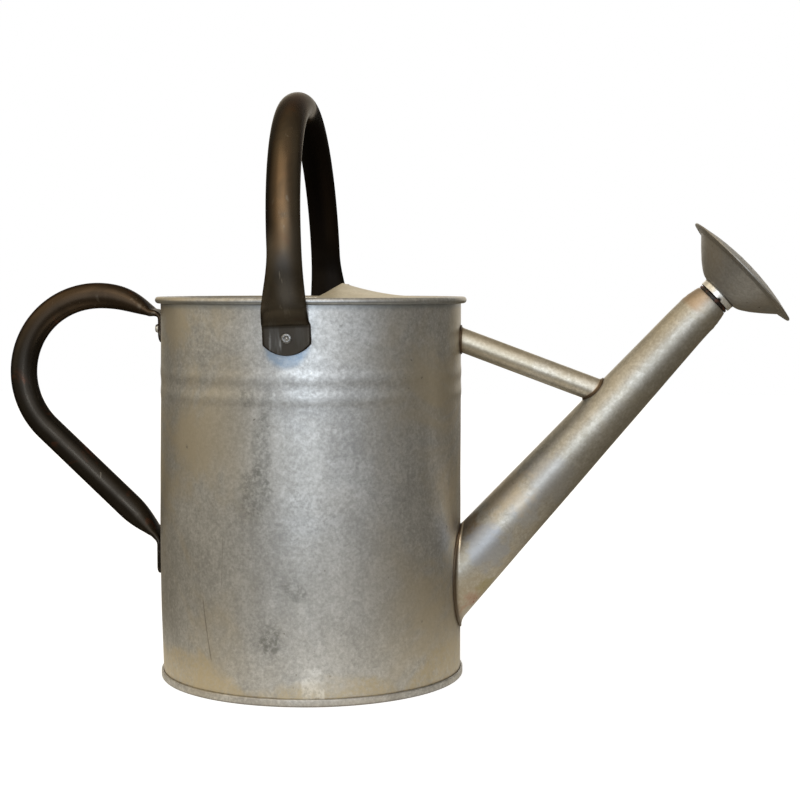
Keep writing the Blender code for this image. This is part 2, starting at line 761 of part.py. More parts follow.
def bail_path():
    """Centres and thicknesses from the near ear over the top to the far ear."""
    leg = bail_leg()
    arch = []
    steps = 16
    for k in range(1, steps):
        angle = math.pi * k / steps
        height = BAIL_ARCH_START + BAIL_ARCH_RISE * math.sin(angle)
        arch.append((BAIL_SPREAD * math.cos(angle), height, bail_thickness(height)))
    full = leg + arch + [(-y, h, thick) for y, h, thick in reversed(leg)]
    path = []
    for y, h, thick in full:
        skew = BAIL_SKEW * y / BAIL_SPREAD * ease((h - BAIL_EAR_TOP) / BAIL_PINCH)
        path.append((Vector((skew, -y, h)), thick))
    return path


def ear_trim(name, half_width, drop, arc_r, matrix, parent):
    """Block with a hollow end, which leaves an ear with a rounded edge below its rivet."""
    centre = -drop + arc_r
    steps = 10
    reach = math.asin(min(1.0, half_width / arc_r))
    edge = [(arc_r * math.sin(a), centre - arc_r * math.cos(a))
            for a in (reach * (2 * k / steps - 1) for k in range(steps + 1))]
    side = half_width * 1.3
    deep = -drop - half_width
    outline = [(-side, deep), (side, deep), (side, edge[-1][1])] + edge[::-1]
    outline.append((-side, edge[0][1]))
    build = bmesh.new()
    thick = FLAT_T * 4
    low = [build.verts.new(matrix @ Vector((a, -thick, b))) for a, b in outline]
    high = [build.verts.new(matrix @ Vector((a, thick, b))) for a, b in outline]
    build.faces.new(low)
    build.faces.new(list(reversed(high)))
    for k in range(len(low)):
        nxt = (k + 1) % len(low)
        build.faces.new((low[nxt], low[k], high[k], high[nxt]))
    bmesh.ops.recalc_face_normals(build, faces=build.faces)
    mesh = bpy.data.meshes.new(name)
    build.to_mesh(mesh)
    build.free()
    return add_cutter(name, mesh, parent)


def make_bail():
    """Top handle: one tube bent over the mouth, its pressed ends turning on two rivets."""
    stations = directed(bail_path())
    across = Vector((1, 0, 0))
    bail = add_part("top_handle", sweep("top_handle", stations, BAIL_TUBE_D, 0, HANDLE_POINTS,
                                        across), HANDLE_PAINT, BAIL)
    core = sweep("bail_core", extended(stations, 0.004), BAIL_TUBE_D, TUBE_WALL, CORE_POINTS,
                 across)
    cut(bail, add_cutter("bail_core", core, BAIL))
    half = pressed_width(BAIL_TUBE_D, FLAT_T) / 2
    for side, label in ((-1, "near"), (1, "far")):
        place = Matrix.Translation((0, side * EAR_PLANE, 0))
        cut(bail, ear_trim("bail_trim_" + label, half, BAIL_EAR_DROP, EAR_ARC_R, place, BAIL))
        hole = rod_mesh("bail_hole_" + label, (0, side * (EAR_PLANE - FLAT_T * 2), 0),
                        (0, side * (EAR_PLANE + FLAT_T * 2), 0), RIVET_R + GAP, RIVET_STEPS)
        cut(bail, add_cutter("bail_hole_" + label, hole, BAIL))
    return bail


REAR_UPPER_Z = RIM_Z - REAR_RIVET_DROP
REAR_FIRST = math.acos((REAR_REACH - FLAT_T * 2.2) / REAR_BOW_R)
REAR_BOW_Z = REAR_UPPER_Z + REAR_EAR_RISE - REAR_BOW_R * math.sin(REAR_FIRST)


def rear_path():
    """Centres and thicknesses from the upper ear round the bow to the lower ear."""
    plate = -EAR_PLANE
    bow = Vector((-(BODY_R + REAR_REACH), 0, REAR_BOW_Z))
    path = [(Vector((plate, 0, REAR_UPPER_Z - REAR_EAR_DROP - FLAT_T)), FLAT_T),
            (Vector((plate, 0, REAR_UPPER_Z)), FLAT_T)]
    corner_z = REAR_UPPER_Z + REAR_EAR_RISE - REAR_NECK_DIP - FLAT_T * 1.6
    path.append((Vector((plate - FLAT_T * 0.1, 0, corner_z)), FLAT_T))
    last = 3 * math.pi / 2 + REAR_RUN_ANGLE
    neck = REAR_NECK / REAR_BOW_R
    angles = [REAR_FIRST + neck * s for s in (0.0, 0.22, 0.5)]
    steps = 13
    angles += [REAR_FIRST + neck + (last - REAR_FIRST - neck) * k / steps for k in range(steps + 1)]
    for angle in angles:
        away = REAR_BOW_R * (math.cos(REAR_FIRST) - math.cos(angle)) + FLAT_T / 2
        thick = pinch(away, REAR_UPPER_PINCH, REAR_TUBE_D, power=REAR_UPPER_POWER)
        radius = REAR_BOW_R - thick / 2
        dip = REAR_NECK_DIP * max(0.0, 1 - (angle - REAR_FIRST) / neck) ** 2
        path.append((bow + Vector((radius * math.cos(angle), 0, radius * math.sin(angle) - dip)),
                     thick))
    run = Vector((math.cos(REAR_RUN_ANGLE), 0, math.sin(REAR_RUN_ANGLE)))
    start = path[-1][0]
    length = (plate - FLAT_T - start.x) / run.x
    for s in (0.45, 1 - REAR_LOWER_PINCH / length, 0.82, 0.90, 0.96):
        left = length * (1 - s)
        path.append((start + run * length * s, pinch(left, REAR_LOWER_PINCH, REAR_TUBE_D)))
    corner = start + run * length
    path.append((Vector((plate, 0, corner.z - FLAT_T * 1.6)), FLAT_T))
    lower = corner.z - REAR_EAR_FALL
    path.append((Vector((plate, 0, lower)), FLAT_T))
    path.append((Vector((plate, 0, lower - REAR_EAR_DROP - FLAT_T)), FLAT_T))
    return path


REAR_LOWER_Z = rear_path()[-2][0].z


def make_rear_handle():
    """Rear handle: one bent tube, its pressed ends riveted to the wall."""
    stations = directed(rear_path())
    across = Vector((0, 1, 0))
    handle = add_part("rear_handle", sweep("rear_handle", stations, REAR_TUBE_D, 0,
                                           HANDLE_POINTS, across), HANDLE_PAINT, CAN)
    core = sweep("rear_core", extended(stations, 0.004), REAR_TUBE_D, TUBE_WALL, CORE_POINTS,
                 across)
    cut(handle, add_cutter("rear_core", core, CAN))
    half = pressed_width(REAR_TUBE_D, FLAT_T) / 2
    quarter = Matrix.Rotation(math.pi / 2, 4, "Z")
    for z, label in ((REAR_UPPER_Z, "upper"), (REAR_LOWER_Z, "lower")):
        place = Matrix.Translation((-EAR_PLANE, 0, z)) @ quarter
        cut(handle, ear_trim("rear_trim_" + label, half, REAR_EAR_DROP, EAR_ARC_R, place, CAN))
        hole = rod_mesh("rear_hole_" + label, (-EAR_PLANE - FLAT_T * 2, 0, z),
                        (-EAR_PLANE + FLAT_T * 2, 0, z), RIVET_R + GAP, RIVET_STEPS)
        cut(handle, add_cutter("rear_hole_" + label, hole, CAN))
    return handle


def make_rivet(label, x, z, azimuth, body):
    """Blind rivet through an ear and the wall, with the stub of its pulled mandrel inside."""
    ear = BODY_R + GAP + FLAT_T + GAP
    inside = WALL_IN * FACET - GAP
    seat = MANDREL_R + GAP
    head = ear + RIVET_HEAD_H
    tail = inside - RIVET_BULB_H
    points = [
        (seat, head), (RIVET_HEAD_R * 0.75, head), (RIVET_HEAD_R, ear + RIVET_HEAD_H * 0.35),
        (RIVET_HEAD_R, ear), (RIVET_R, ear), (RIVET_R, inside), (RIVET_BULB_R, inside),
        (RIVET_BULB_R, tail + RIVET_BULB_R / 2), (RIVET_R, tail), (seat, tail),
    ]
    place = Matrix.Rotation(azimuth, 4, "Z") @ Matrix.Rotation(math.pi / 2, 4, "Y")
    rivet = turned_part("rivet_" + label, points, RIVET_STEPS, BRIGHT_ZINC, CAN)
    stub_top = head - RIVET_HEAD_H * 0.4
    stub_r = RIVET_R
    stub = [
        (0, stub_top), (MANDREL_R, stub_top), (MANDREL_R, tail - GAP), (stub_r, tail - GAP),
        (stub_r, tail - GAP - MANDREL_R), (0, tail - GAP - MANDREL_R * 1.6),
    ]
    mandrel = turned_part("mandrel_" + label, stub, 10, WIRE_STEEL, CAN)
    for piece in (rivet, mandrel):
        piece.rotation_euler = place.to_euler()
        piece.location = (x, 0, z)
    hole = rod_mesh("wall_hole_" + label, (0, 0, BODY_R - SHEET * 4), (0, 0, BODY_R + SHEET * 2),
                    RIVET_R + GAP, RIVET_STEPS)
    hole.transform(place)
    made = add_cutter("wall_hole_" + label, hole, CAN)
    made.location = (x, 0, z)
    cut(body, made)


def build():
    body = make_body()
    cut(body, make_side_seam(), "UNION")
    cut(body, make_spout_bore())
    make_base()
    make_rim_wire()
    make_hood()
    make_spout()
    make_brace()
    make_nipple()
    make_washer()
    make_collar()
    make_rose_back()
    make_rose_face()
    make_bail()
    make_rear_handle()
    make_rivet("bail_near", BAIL_SET, BAIL_PIVOT_Z, -math.pi / 2, body)
    make_rivet("bail_far", BAIL_SET, BAIL_PIVOT_Z, math.pi / 2, body)
    make_rivet("rear_upper", 0, REAR_UPPER_Z, math.pi, body)
    make_rivet("rear_lower", 0, REAR_LOWER_Z, math.pi, body)


build()
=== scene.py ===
"""Looks of the galvanised watering can: fine sheet-metal surfaces and their finishes.

Metres, +Z up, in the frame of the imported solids: spout to +X, rear handle to -X. Pieces of
the can are built round the can's own axis, pieces of the rose along the rose's axis, and the
top handle round its pivot. Each is then put where the frame says.
"""
import json
from math import acos, asin, atan, atan2, copysign, cos, exp, hypot, pi, radians, sin, sqrt

import bmesh
import bpy
from mathutils import Matrix, Vector, noise
from mathutils.geometry import delaunay_2d_cdt


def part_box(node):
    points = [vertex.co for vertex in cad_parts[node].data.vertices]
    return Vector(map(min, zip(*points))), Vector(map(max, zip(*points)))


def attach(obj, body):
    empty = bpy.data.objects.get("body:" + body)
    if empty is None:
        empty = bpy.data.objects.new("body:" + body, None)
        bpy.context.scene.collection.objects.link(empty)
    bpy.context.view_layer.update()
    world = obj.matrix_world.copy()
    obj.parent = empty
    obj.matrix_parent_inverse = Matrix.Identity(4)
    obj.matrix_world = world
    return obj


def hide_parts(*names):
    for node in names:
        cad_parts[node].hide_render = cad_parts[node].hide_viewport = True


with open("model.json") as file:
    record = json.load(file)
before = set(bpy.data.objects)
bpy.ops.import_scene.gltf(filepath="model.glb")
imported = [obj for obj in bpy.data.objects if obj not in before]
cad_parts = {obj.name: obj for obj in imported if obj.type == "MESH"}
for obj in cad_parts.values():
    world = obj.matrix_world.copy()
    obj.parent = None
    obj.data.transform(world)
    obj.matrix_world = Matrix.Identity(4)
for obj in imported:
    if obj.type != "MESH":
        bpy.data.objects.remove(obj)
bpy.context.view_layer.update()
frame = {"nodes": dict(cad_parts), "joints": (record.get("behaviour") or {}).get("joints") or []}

# Places read from the frame
BASE_LOW, BASE_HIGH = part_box("base_pan")
WALL_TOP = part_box("body_wall")[1].z
CAN_X = (BASE_LOW.x + BASE_HIGH.x) / 2
JOINTS = {joint["name"]: joint for joint in frame["joints"]}
BAIL_PIVOT = Vector(JOINTS["bail_swing"]["pos_m"])
ROSE_FOOT = Vector(JOINTS["rose_turn"]["pos_m"])
ROSE_AXIS = Vector(JOINTS["rose_turn"]["axis"])

# Sheet and body
SHEET = 0.0007
GAP = 0.0003              # between pieces that are soldered or seamed
BODY_R = 0.105
WALL_IN = BODY_R - SHEET
ROLL_R = 0.0023           # outside of the rolled rim's section
ROLL_SWEEP = radians(292)
ROLL_CENTRE = WALL_IN + ROLL_R
RIM_Z = WALL_TOP - ROLL_R
RIM_OUT = ROLL_CENTRE + ROLL_R
BEAD_Z = (RIM_Z - 0.0497, RIM_Z - 0.0632)
BEAD_HALF = 0.0065
BEAD_RISE = 0.0003
SEAM_HALF = radians(2.5)
SEAM_AZIMUTH = radians(128) + SEAM_HALF
SEAM_RISE = 0.0006
BAND_H = 0.0052           # double seam round the foot
BAND_RISE = 0.0016
BAND_ROUND = 0.0006
PAN_RAISE = 0.0075
PAN_STEP_W = 0.0095       # the pan's floor steps down inside a flat border
PAN_STEP_H = 0.0016
PAN_MIDDLE_R = 0.05
BULGE_RISE = 0.0018       # the wall is knocked out of round behind
BULGE_Z = 0.092
BULGE_TOP = 0.205
BULGE_FOOT = 0.006
BULGE_HALF = radians(62)
RIDGE_RISE = 0.00035      # soft crease beside the spout: azimuth and height of its ends
RIDGE_ENDS = ((radians(-26), 0.128), (radians(-15), 0.088))
RIDGE_WIDTH = 0.0022

# Hood
HOOD_BACK = 0.022
HOOD_CORNER = 0.0175
HOOD_RISE = 0.0098
HOOD_SEAT = 0.0010
HOOD_SKIRT = 0.006
HOOD_HOLLOW = 3.0
HOOD_REACH = 0.985        # share of the way to the rim at which the cover turns down
HOOD_BEND = 0.0014
HOOD_HEM = 0.0045

# Spout and brace
SPOUT_ANGLE = radians(48.05)
SPOUT_FOOT_Z = 0.0734
SPOUT_FOOT_R = 0.0229
SPOUT_TIP_R = 0.0141
SPOUT_LENGTH = 0.2572
SPOUT_SHEET = 0.0008
MOUTH_END = SPOUT_LENGTH - SPOUT_SHEET
SPOUT_FLARE = 0.0048
SPOUT_FLARE_NARROW = 0.75  # how much of the flange is missing at its upper side
SPOUT_SETTLED = 0.048      # from here on the tube is a plain cone
SPOUT_LAP = 0.16           # angle of the lap seam, from the underside
BORE_R = (SPOUT_FOOT_R - 0.0004, SPOUT_FOOT_R - 0.004)   # hole in the wall, narrower outside
BORE_REACH = 0.05
TIP_DROOP = radians(4.35)
TIP_DROOP_LENGTH = 0.030
TIP_SHOULDER = 0.0120
TIP_MOUTH_R = 0.0124
TIP_MARKS = ((0.0128, 0.00022), (0.0085, 0.00016))  # tool marks: distance from the tip, rise
FLANGE_GAP = 0.0001
BRACE_Z = RIM_Z - 0.0275
BRACE_ANGLE = radians(-20.4)
BRACE_R = 0.0083
BRACE_FLARE = 0.0022
CREASE_WIDTH = 0.0013      # of the darkening in the corners of the flanges: grime and painted shade

# Nipple and rose, along the rose's axis from the spout's tip
THREAD_R = 0.0111
THREAD_DEPTH = 0.0006
THREAD_PITCH = 0.003
NIPPLE_BORE_R = 0.0086
NIPPLE_FOOT = -0.008
NIPPLE_NECK_R = 0.0107
NIPPLE_SHOULDER_R = 0.0122
NIPPLE_SHOULDER_H = 0.0016
NIPPLE_END = 0.0091
BLOB_SIZE = (0.0017, 0.0009, 0.0008)
BLOB_PLACE = (0.0112, 0, 0.0020)
BLOB_TURN = radians(-80)
COLLAR_START = 0.0027
COLLAR_R = 0.01285
COLLAR_BORE_R = 0.0120
COLLAR_MOUTH_R = 0.01235   # wider mouth that passes over the nipple's shoulder
COLLAR_MOUTH_DEPTH = 0.0013
COLLAR_TOP = 0.0139
COLLAR_FLOOR = 0.0009
COLLAR_ROUND = 0.00016
ROSE_SHEET = 0.00028
ROSE_GAP = 0.00004
BOWL_START = 0.0073
BOWL_DEPTH = 0.0187
BOWL_LINE = ((0.0, 0.0), (0.10, 0.02), (0.22, 0.10), (0.44, 0.31), (0.72, 0.64), (1.0, 1.0))
FLANGE_W = 0.0073
FLANGE_RISE = 0.0017
FLANGE_SLOPE = FLANGE_RISE / FLANGE_W
ROSE_R = 0.0459
DOME_RISE = 0.0060
HEM = 0.0035
HOLE_R = 0.0009
HOLE_RINGS = 4
HOLE_RING_STEP = 0.0085
HOLE_LIP = 0.00005
EDGE_U = BOWL_START + BOWL_DEPTH + FLANGE_RISE
BOWL_MOUTH_R = ROSE_R - ROSE_SHEET - ROSE_GAP - FLANGE_W
DISC_R = ROSE_R - ROSE_SHEET
DOME_RIM_U = EDGE_U + 2 * ROSE_SHEET + ROSE_GAP
DOME_R = (ROSE_R ** 2 + DOME_RISE ** 2) / (2 * DOME_RISE)

# Handles
FLAT_T = 0.0024            # a tube pressed flat
EAR_PLANE = BODY_R + GAP + FLAT_T / 2
EAR_ARC_R = 0.021
EAR_STEP_ROUND = 0.0034
TUBE_POINTS = 72
PRESSED_CROWN = 0.75       # how far a half-pressed tube keeps an oval section
BAIL_TUBE_D = 0.0208
BAIL_TUBE_W = 0.0221       # the tube is a little wider across the can's length
BAIL_EAR_NEAR = 0.0318     # widths of the pressed ears
BAIL_EAR_FAR = 0.0320
BAIL_JOG = 0.0006          # the near ear is set a little off its leg
BAIL_LEAN = radians(-2.35)
BAIL_ARCH_START = 0.057
BAIL_ARCH_RISE = 0.100
BAIL_EAR_DROP = 0.0112
BAIL_EAR_TOP = 0.0085
BAIL_EAR_STEP = 0.0016
BAIL_PINCH = 0.050
BAIL_PINCH_POWER = 1.75
BAIL_CLEAR = 0.0014
BAIL_SKEW = 0.0031
BAIL_Z = BAIL_PIVOT.z
BAIL_X = BAIL_PIVOT.x - CAN_X
BAIL_SPREAD = RIM_OUT + BAIL_CLEAR + BAIL_TUBE_D / 2
REAR_TUBE_D = 0.0186
REAR_EAR = 0.0284
REAR_REACH = 0.0481
REAR_BOW_R = 0.06395
REAR_RUN_ANGLE = radians(-43.4)
REAR_UPPER_Z = RIM_Z - 0.0203
REAR_LOWER_Z = 0.0789
REAR_EAR_RISE = 0.0158
REAR_EAR_DROP = 0.0100
REAR_NECK = 0.032
REAR_NECK_DIP = 0.0042
REAR_OPENING = 0.0118      # the upper end opens from its ear over this length
REAR_LOWER_PINCH = 0.031
RIVET_R = 0.0016
RIVET_HEAD_R = 0.0034
RIVET_HEAD_H = 0.0013
RIVET_TALL_H = 0.0038
RIVET_SIDE = 0.00035       # straight foot of the head, below its dome
RIVET_ROUND = 0.0014
# Outlines of a rivet: radius, and height above the head's top or the tail's end
RIVET_DIMPLE = ((0.0009, -0.00062), (0.00125, -0.0005), (0.0015, -0.00018), (0.00175, -0.00002))
RIVET_TAIL = ((0.0023, 0.0008), (RIVET_R, 0.0), (0.0009, 0.0))
RIVET_TAIL_H = 0.0030
STUB_TOP = ((0.0, -0.00052), (0.0004, -0.00047), (0.00072, -0.0006), (0.00088, -0.0007))
STUB_TAIL = ((0.00088, -0.0002), (0.0016, -0.0003), (0.0016, -0.0012), (0.0010, -0.0018),
             (0.0, -0.0020))

# Where each group of pieces stands
SPOUT_DIR = Vector((cos(SPOUT_ANGLE), 0, sin(SPOUT_ANGLE)))
SPOUT_UP = Vector((-sin(SPOUT_ANGLE), 0, cos(SPOUT_ANGLE)))
SPOUT_START = Vector((BODY_R, 0, SPOUT_FOOT_Z))
CAN_PLACE = Matrix.Translation((CAN_X, 0, 0))
ROSE_PLACE = Matrix.Translation(ROSE_FOOT) @ Matrix.Rotation(
    pi / 2 - atan2(ROSE_AXIS.z, ROSE_AXIS.x), 4, "Y")
BAIL_PLACE = Matrix.Translation(BAIL_PIVOT) @ Matrix.Rotation(BAIL_LEAN, 4, "Y")


# Numbers and points
def ease(value):
    value = min(max(value, 0.0), 1.0)
    return value * value * (3 - 2 * value)


def bell(off, width):
    return exp(-(off / width) ** 2)


def evenly(low, high, count, first=1):
    """Equal steps from low to high; low itself is among them when first is 0."""
    return [low + (high - low) * k / count for k in range(first, count + 1)]


def turns(count):
    return [2 * pi * k / count for k in range(count)]


def angle_between(a, b):
    return (a - b + pi) % (2 * pi) - pi


def spun(radius, angle, height=0.0):
    return Vector((radius * cos(angle), radius * sin(angle), height))


def curve(start, corner, end, s):
    """Point of a curve from start to end that bends towards a corner."""
    return start * (1 - s) ** 2 + corner * (2 * s * (1 - s)) + end * s ** 2


def ripple(angle, height, scale, size):
    """Soft unevenness of a round surface."""
    return noise.noise(spun(1.0, angle, height) * scale) * size


# Meshes
def new_mesh(points, faces):
    mesh = bpy.data.meshes.new("mesh")
    mesh.from_pydata(points, [], faces)
    return mesh


def mesh_of(build, mesh=None):
    """Writes the built shape into a mesh, or a new one."""
    mesh = mesh or new_mesh([], [])
    build.to_mesh(mesh)
    build.free()
    return mesh


def grid_mesh(rows, closed=True, looped=False, caps=False):
    """Surface through rows of points. Rows may be rings, and the last may meet the first."""
    count = len(rows[0])
    points = [point for row in rows for point in row]
    faces = []
    for i in range(len(rows) if looped else len(rows) - 1):
        low, high = i * count, (i + 1) % len(rows) * count
        for k in range(count if closed else count - 1):
            nxt = (k + 1) % count
            faces.append((low + k, low + nxt, high + nxt, high + k))
    if caps:
        faces.append(tuple(reversed(range(count))))
        faces.append(tuple(range(len(points) - count, len(points))))
    return new_mesh(points, faces)


def outward(mesh, merge=0.0, upward=False):
    """Merges points that meet and turns the faces out, or an open sheet's faces up."""
    build = bmesh.new()
    build.from_mesh(mesh)
    if merge:
        bmesh.ops.remove_doubles(build, verts=build.verts, dist=merge)
    bmesh.ops.recalc_face_normals(build, faces=build.faces)
    if upward and sum(face.normal.z * face.calc_area() for face in build.faces) < 0:
        bmesh.ops.reverse_faces(build, faces=build.faces)
    return mesh_of(build, mesh)


def smooth(mesh, angle=40):
    mesh.shade_smooth()
    mesh.set_sharp_from_angle(angle=radians(angle))


def fillet(points, radius, steps):
    """Closed outline with its corners rounded by short arcs."""
    made = []
    for i, point in enumerate(points):
        here = Vector(point)
        before = Vector(points[i - 1]) - here
        after = Vector(points[(i + 1) % len(points)]) - here
        reach = min(radius, before.length * 0.45, after.length * 0.45)
        start = here + before.normalized() * reach
        end = here + after.normalized() * reach
        made += [tuple(curve(start, here, end, s)) for s in evenly(0, 1, steps, 0)]
    return made


def lathe(profile, angles, shift=lambda r, z, angle: 0.0, looped=True):
    """Turned shape: (radius, height) points carried round the angles, each shifted outwards."""
    rows = [[spun(r + shift(r, z, angle), angle, z) for angle in angles] for r, z in profile]
    return outward(grid_mesh(rows, True, looped), 1e-7)


def rod(start, end, radius, count, end_radius=None):
    """Closed cylinder or cone between two points, for cutting holes."""
    start, end = Vector(start), Vector(end)
    axis = end - start
    turn = Vector((0, 0, 1)).rotation_difference(axis.normalized()).to_matrix().to_4x4()
    build = bmesh.new()
    bmesh.ops.create_cone(build, cap_ends=True, segments=count, radius1=radius,
                          radius2=radius if end_radius is None else end_radius,
                          depth=axis.length, matrix=Matrix.Translation((start + end) / 2) @ turn)
    return mesh_of(build)


def settle(piece, cutters=(), angle=40):
    """Cuts holes, applies the modifiers and removes the cutters."""
    tools = []
    for mesh in cutters:
        tool = add_piece("cutter", mesh, piece.matrix_world)
        made = piece.modifiers.new("cut", "BOOLEAN")
        made.operation = "DIFFERENCE"
        made.solver = "EXACT"
        made.object = tool
        tools.append(tool)
    bpy.context.view_layer.update()
    graph = bpy.context.evaluated_depsgraph_get()
    made = bpy.data.meshes.new_from_object(piece.evaluated_get(graph))
    piece.modifiers.clear()
    piece.data = made
    made.name = piece.name
    for tool in tools:
        bpy.data.objects.remove(tool, do_unlink=True)
    smooth(made, angle)


def thicken(piece, thickness, offset=1):
    """Gives an open surface the thickness of its sheet."""
    made = piece.modifiers.new("sheet", "SOLIDIFY")
    made.thickness = thickness
    made.offset = offset
    made.use_even_offset = True
    settle(piece, angle=50)


def add_piece(name, mesh, place=CAN_PLACE):
    piece = bpy.data.objects.new(name, mesh)
    mesh.name = name
    piece.matrix_world = place
    bpy.context.scene.collection.objects.link(piece)
    smooth(mesh)
    return piece


def paint_points(piece, name, value):
    """Stores a number from 0 to 1 on each point, for the material to read."""
    layer = piece.data.attributes.new(name, "FLOAT", "POINT")
    for point, spot in zip(piece.data.vertices, layer.data):
        spot.value = value(point.co)


def dress(piece, body, slot, material, *nodes):
    """Rides the piece on its body and gives it its material; its slot is not used.

    A turned frame goes into the mesh, so that the piece's own box is its real extent.
    """
    place = piece.matrix_world.copy()
    piece.data.transform(place.to_3x3().to_4x4())
    piece.matrix_world = Matrix.Translation(place.translation)
    piece.data.materials.clear()
    piece.data.materials.append(material)
    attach(piece, body)
    if nodes:
        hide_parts(*nodes)


# Node materials
class Nodes:
    """Chains of nodes in one tree. Each call adds a node and gives back its output."""

    def __init__(self, tree):
        self.tree = tree

    def feed(self, node, key, value):
        socket = node.inputs[key]
        if isinstance(value, bpy.types.NodeSocket):
            self.tree.links.new(value, socket)
        elif isinstance(value, tuple) and socket.type == "RGBA":
            socket.default_value = (*value, 1)
        else:
            socket.default_value = value

    def node(self, kind, inputs, result=0, **settings):
        made = self.tree.nodes.new("ShaderNode" + kind)
        for key, value in settings.items():
            setattr(made, key, value)
        for key, value in inputs.items():
            self.feed(made, key, value)
        return made.outputs[result]

    def maths(self, operation, a, b=0.0, c=0.0):
        return self.node("Math", {0: a, 1: b, 2: c}, operation=operation)

    def times(self, made, *values):
        for value in values:
            made = self.maths("MULTIPLY", made, value)
        return made

    def scaled(self, value, scale, start):
        return self.maths("MULTIPLY_ADD", value, scale, start)

    def off(self, value, middle):
        return self.maths("ABSOLUTE", self.maths("SUBTRACT", value, middle))

    def span(self, value, low, high, new_low=0.0, new_high=1.0):
        """Smooth step from one value to another, between two limits."""
        return self.node("MapRange", {"Value": value, "From Min": low, "From Max": high,
                                      "To Min": new_low, "To Max": new_high},
                         interpolation_type="SMOOTHSTEP")

    def window(self, value, low, full, fade, high, rest=0.0):
        """Rises between the first two limits and falls to the rest between the last two."""
        return self.times(self.span(value, low, full), self.span(value, fade, high, 1.0, rest))

    def mix(self, share, a, b, blend="MIX"):
        return self.node("Mix", {0: share, 6: a, 7: b}, 2, data_type="RGBA", blend_type=blend)

    def vectors(self, operation, a, b=(0.0, 0.0, 0.0), result="Vector"):
        return self.node("VectorMath", {0: a, 1: b}, result, operation=operation)

    def by_camera(self, seen, other, end):
        """Shows one shader to the camera and another to all other rays."""
        path = self.node("LightPath", {}, "Is Camera Ray")
        self.feed(self.tree.nodes[end], "Surface",
                  self.node("MixShader", {0: path, 1: other, 2: seen}))


class Finish(Nodes):
    """Principled material whose colour is laid on in coats."""

    def __init__(self, name, metallic, specular=0.5, place=None):
        self.material = bpy.data.materials.new(name)
        self.material.use_nodes = True
        super().__init__(self.material.node_tree)
        self.shader = self.tree.nodes["Principled BSDF"]
        self.feed(self.shader, "Metallic", metallic)
        self.feed(self.shader, "Specular IOR Level", specular)
        self.place = self.node("TexCoord", {}, "Object")
        if place:
            turn = place.to_3x3().inverted().to_euler()
            self.place = self.stretched((1.0, 1.0, 1.0), tuple(turn))

    def stretched(self, scale, turn=(0.0, 0.0, 0.0)):
        return self.node("Mapping", {"Vector": self.place, "Scale": scale, "Rotation": turn})

    def noise(self, scale, detail=3.0, rough=0.55, twist=0.0, place=None):
        return self.node("TexNoise", {"Vector": place or self.place, "Scale": scale,
                                      "Detail": detail, "Roughness": rough, "Distortion": twist})

    def ragged(self, scale, place=None, rough=0.55):
        """Noise on both sides of nought, to break up an edge."""
        return self.maths("SUBTRACT", self.noise(scale, 4.0, rough, 0.0, place), 0.5)

    def away(self, centre, scale=(1.0, 1.0, 1.0)):
        """Distance from a point, measured in the piece's own frame."""
        off = self.vectors("MULTIPLY", self.vectors("SUBTRACT", self.place, centre), scale)
        return self.vectors("LENGTH", off, result="Value")

    def blot(self, centre, radius, ragged, share, scale=(1.0, 1.0, 1.0)):
        """Soft patch round a point, its edge broken up by a share of a noise."""
        bent = self.scaled(self.times(ragged, share), radius, self.away(centre, scale))
        return self.span(bent, radius * 0.75, radius * 1.5, 1.0, 0.0)

    def axis(self, name):
        return self.node("SeparateXYZ", {"Vector": self.place}, name)

    def attribute(self, name):
        return self.node("Attribute", {}, "Fac", attribute_name=name)

    def lay(self, tint, *shares):
        """Lays a coat over the colour, as strong as its shares multiplied."""
        self.colour = self.mix(self.times(*shares), self.colour, tint)

    def zinc(self, dark, light, warm, warm_share, streaks=0.0, even=0.26):
        """Mottled zinc: soft clouds, swirls, fine spangle and grain, with warm stains."""
        clouds = self.noise(27.0)
        self.swirls = self.noise(125.0, 5.0, 0.68, 1.3)
        self.grain = self.noise(520.0, 4.0, 0.66)
        cells = self.node("TexVoronoi", {"Vector": self.place, "Scale": 420.0}, "Color")
        spangle = self.node("SeparateColor", {"Color": cells})
        runs = self.noise(1.0, 4.0, 0.6, 0.4, self.stretched((120.0, 120.0, 13.0)))
        self.tone = self.times(self.swirls, 0.27)
        for part, share in ((clouds, 0.17), (self.grain, 0.38), (spangle, 0.05),
                            (runs, streaks * 0.35)):
            self.tone = self.scaled(part, share, self.tone)
        low = 0.34 + streaks * 0.10
        self.colour = self.mix(self.span(self.tone, low, low + even), dark, light)
        curls = self.span(self.off(self.noise(270.0, 2.0, 0.5, 1.9), 0.5), 0.0, 0.022, 0.42, 0.0)
        self.lay(light, curls, self.span(clouds, 0.4, 0.6))
        self.lay(warm, self.span(self.noise(11.0, 5.0, 0.62, 0.8), 0.42, 0.62), warm_share)

    def specks(self, dark, scale=260.0, keep=0.66):
        """Small soft pits, thicker in some places than in others."""
        self.lay(dark, self.span(self.noise(scale, 2.0), keep, keep + 0.12),
                 self.span(self.noise(34.0), 0.45, 0.68))

    def finish(self, height, strength, distance, roughness):
        """Links up the bump, the colour and the roughness."""
        self.feed(self.shader, "Normal", self.node(
            "Bump", {"Height": height, "Strength": strength, "Distance": distance}, "Normal"))
        self.feed(self.shader, "Base Color", self.colour)
        self.feed(self.shader, "Roughness", roughness)
        return self.material

    def zinc_finish(self, strength, distance, rough, fine):
        return self.finish(self.maths("ADD", self.swirls, self.grain), strength, distance,
                           self.span(self.tone, 0.3, 0.65, rough, fine))

    def grain_finish(self, grain, strength, distance, low, high):
        return self.finish(grain, strength, distance, self.span(grain, 0.3, 0.7, low, high))


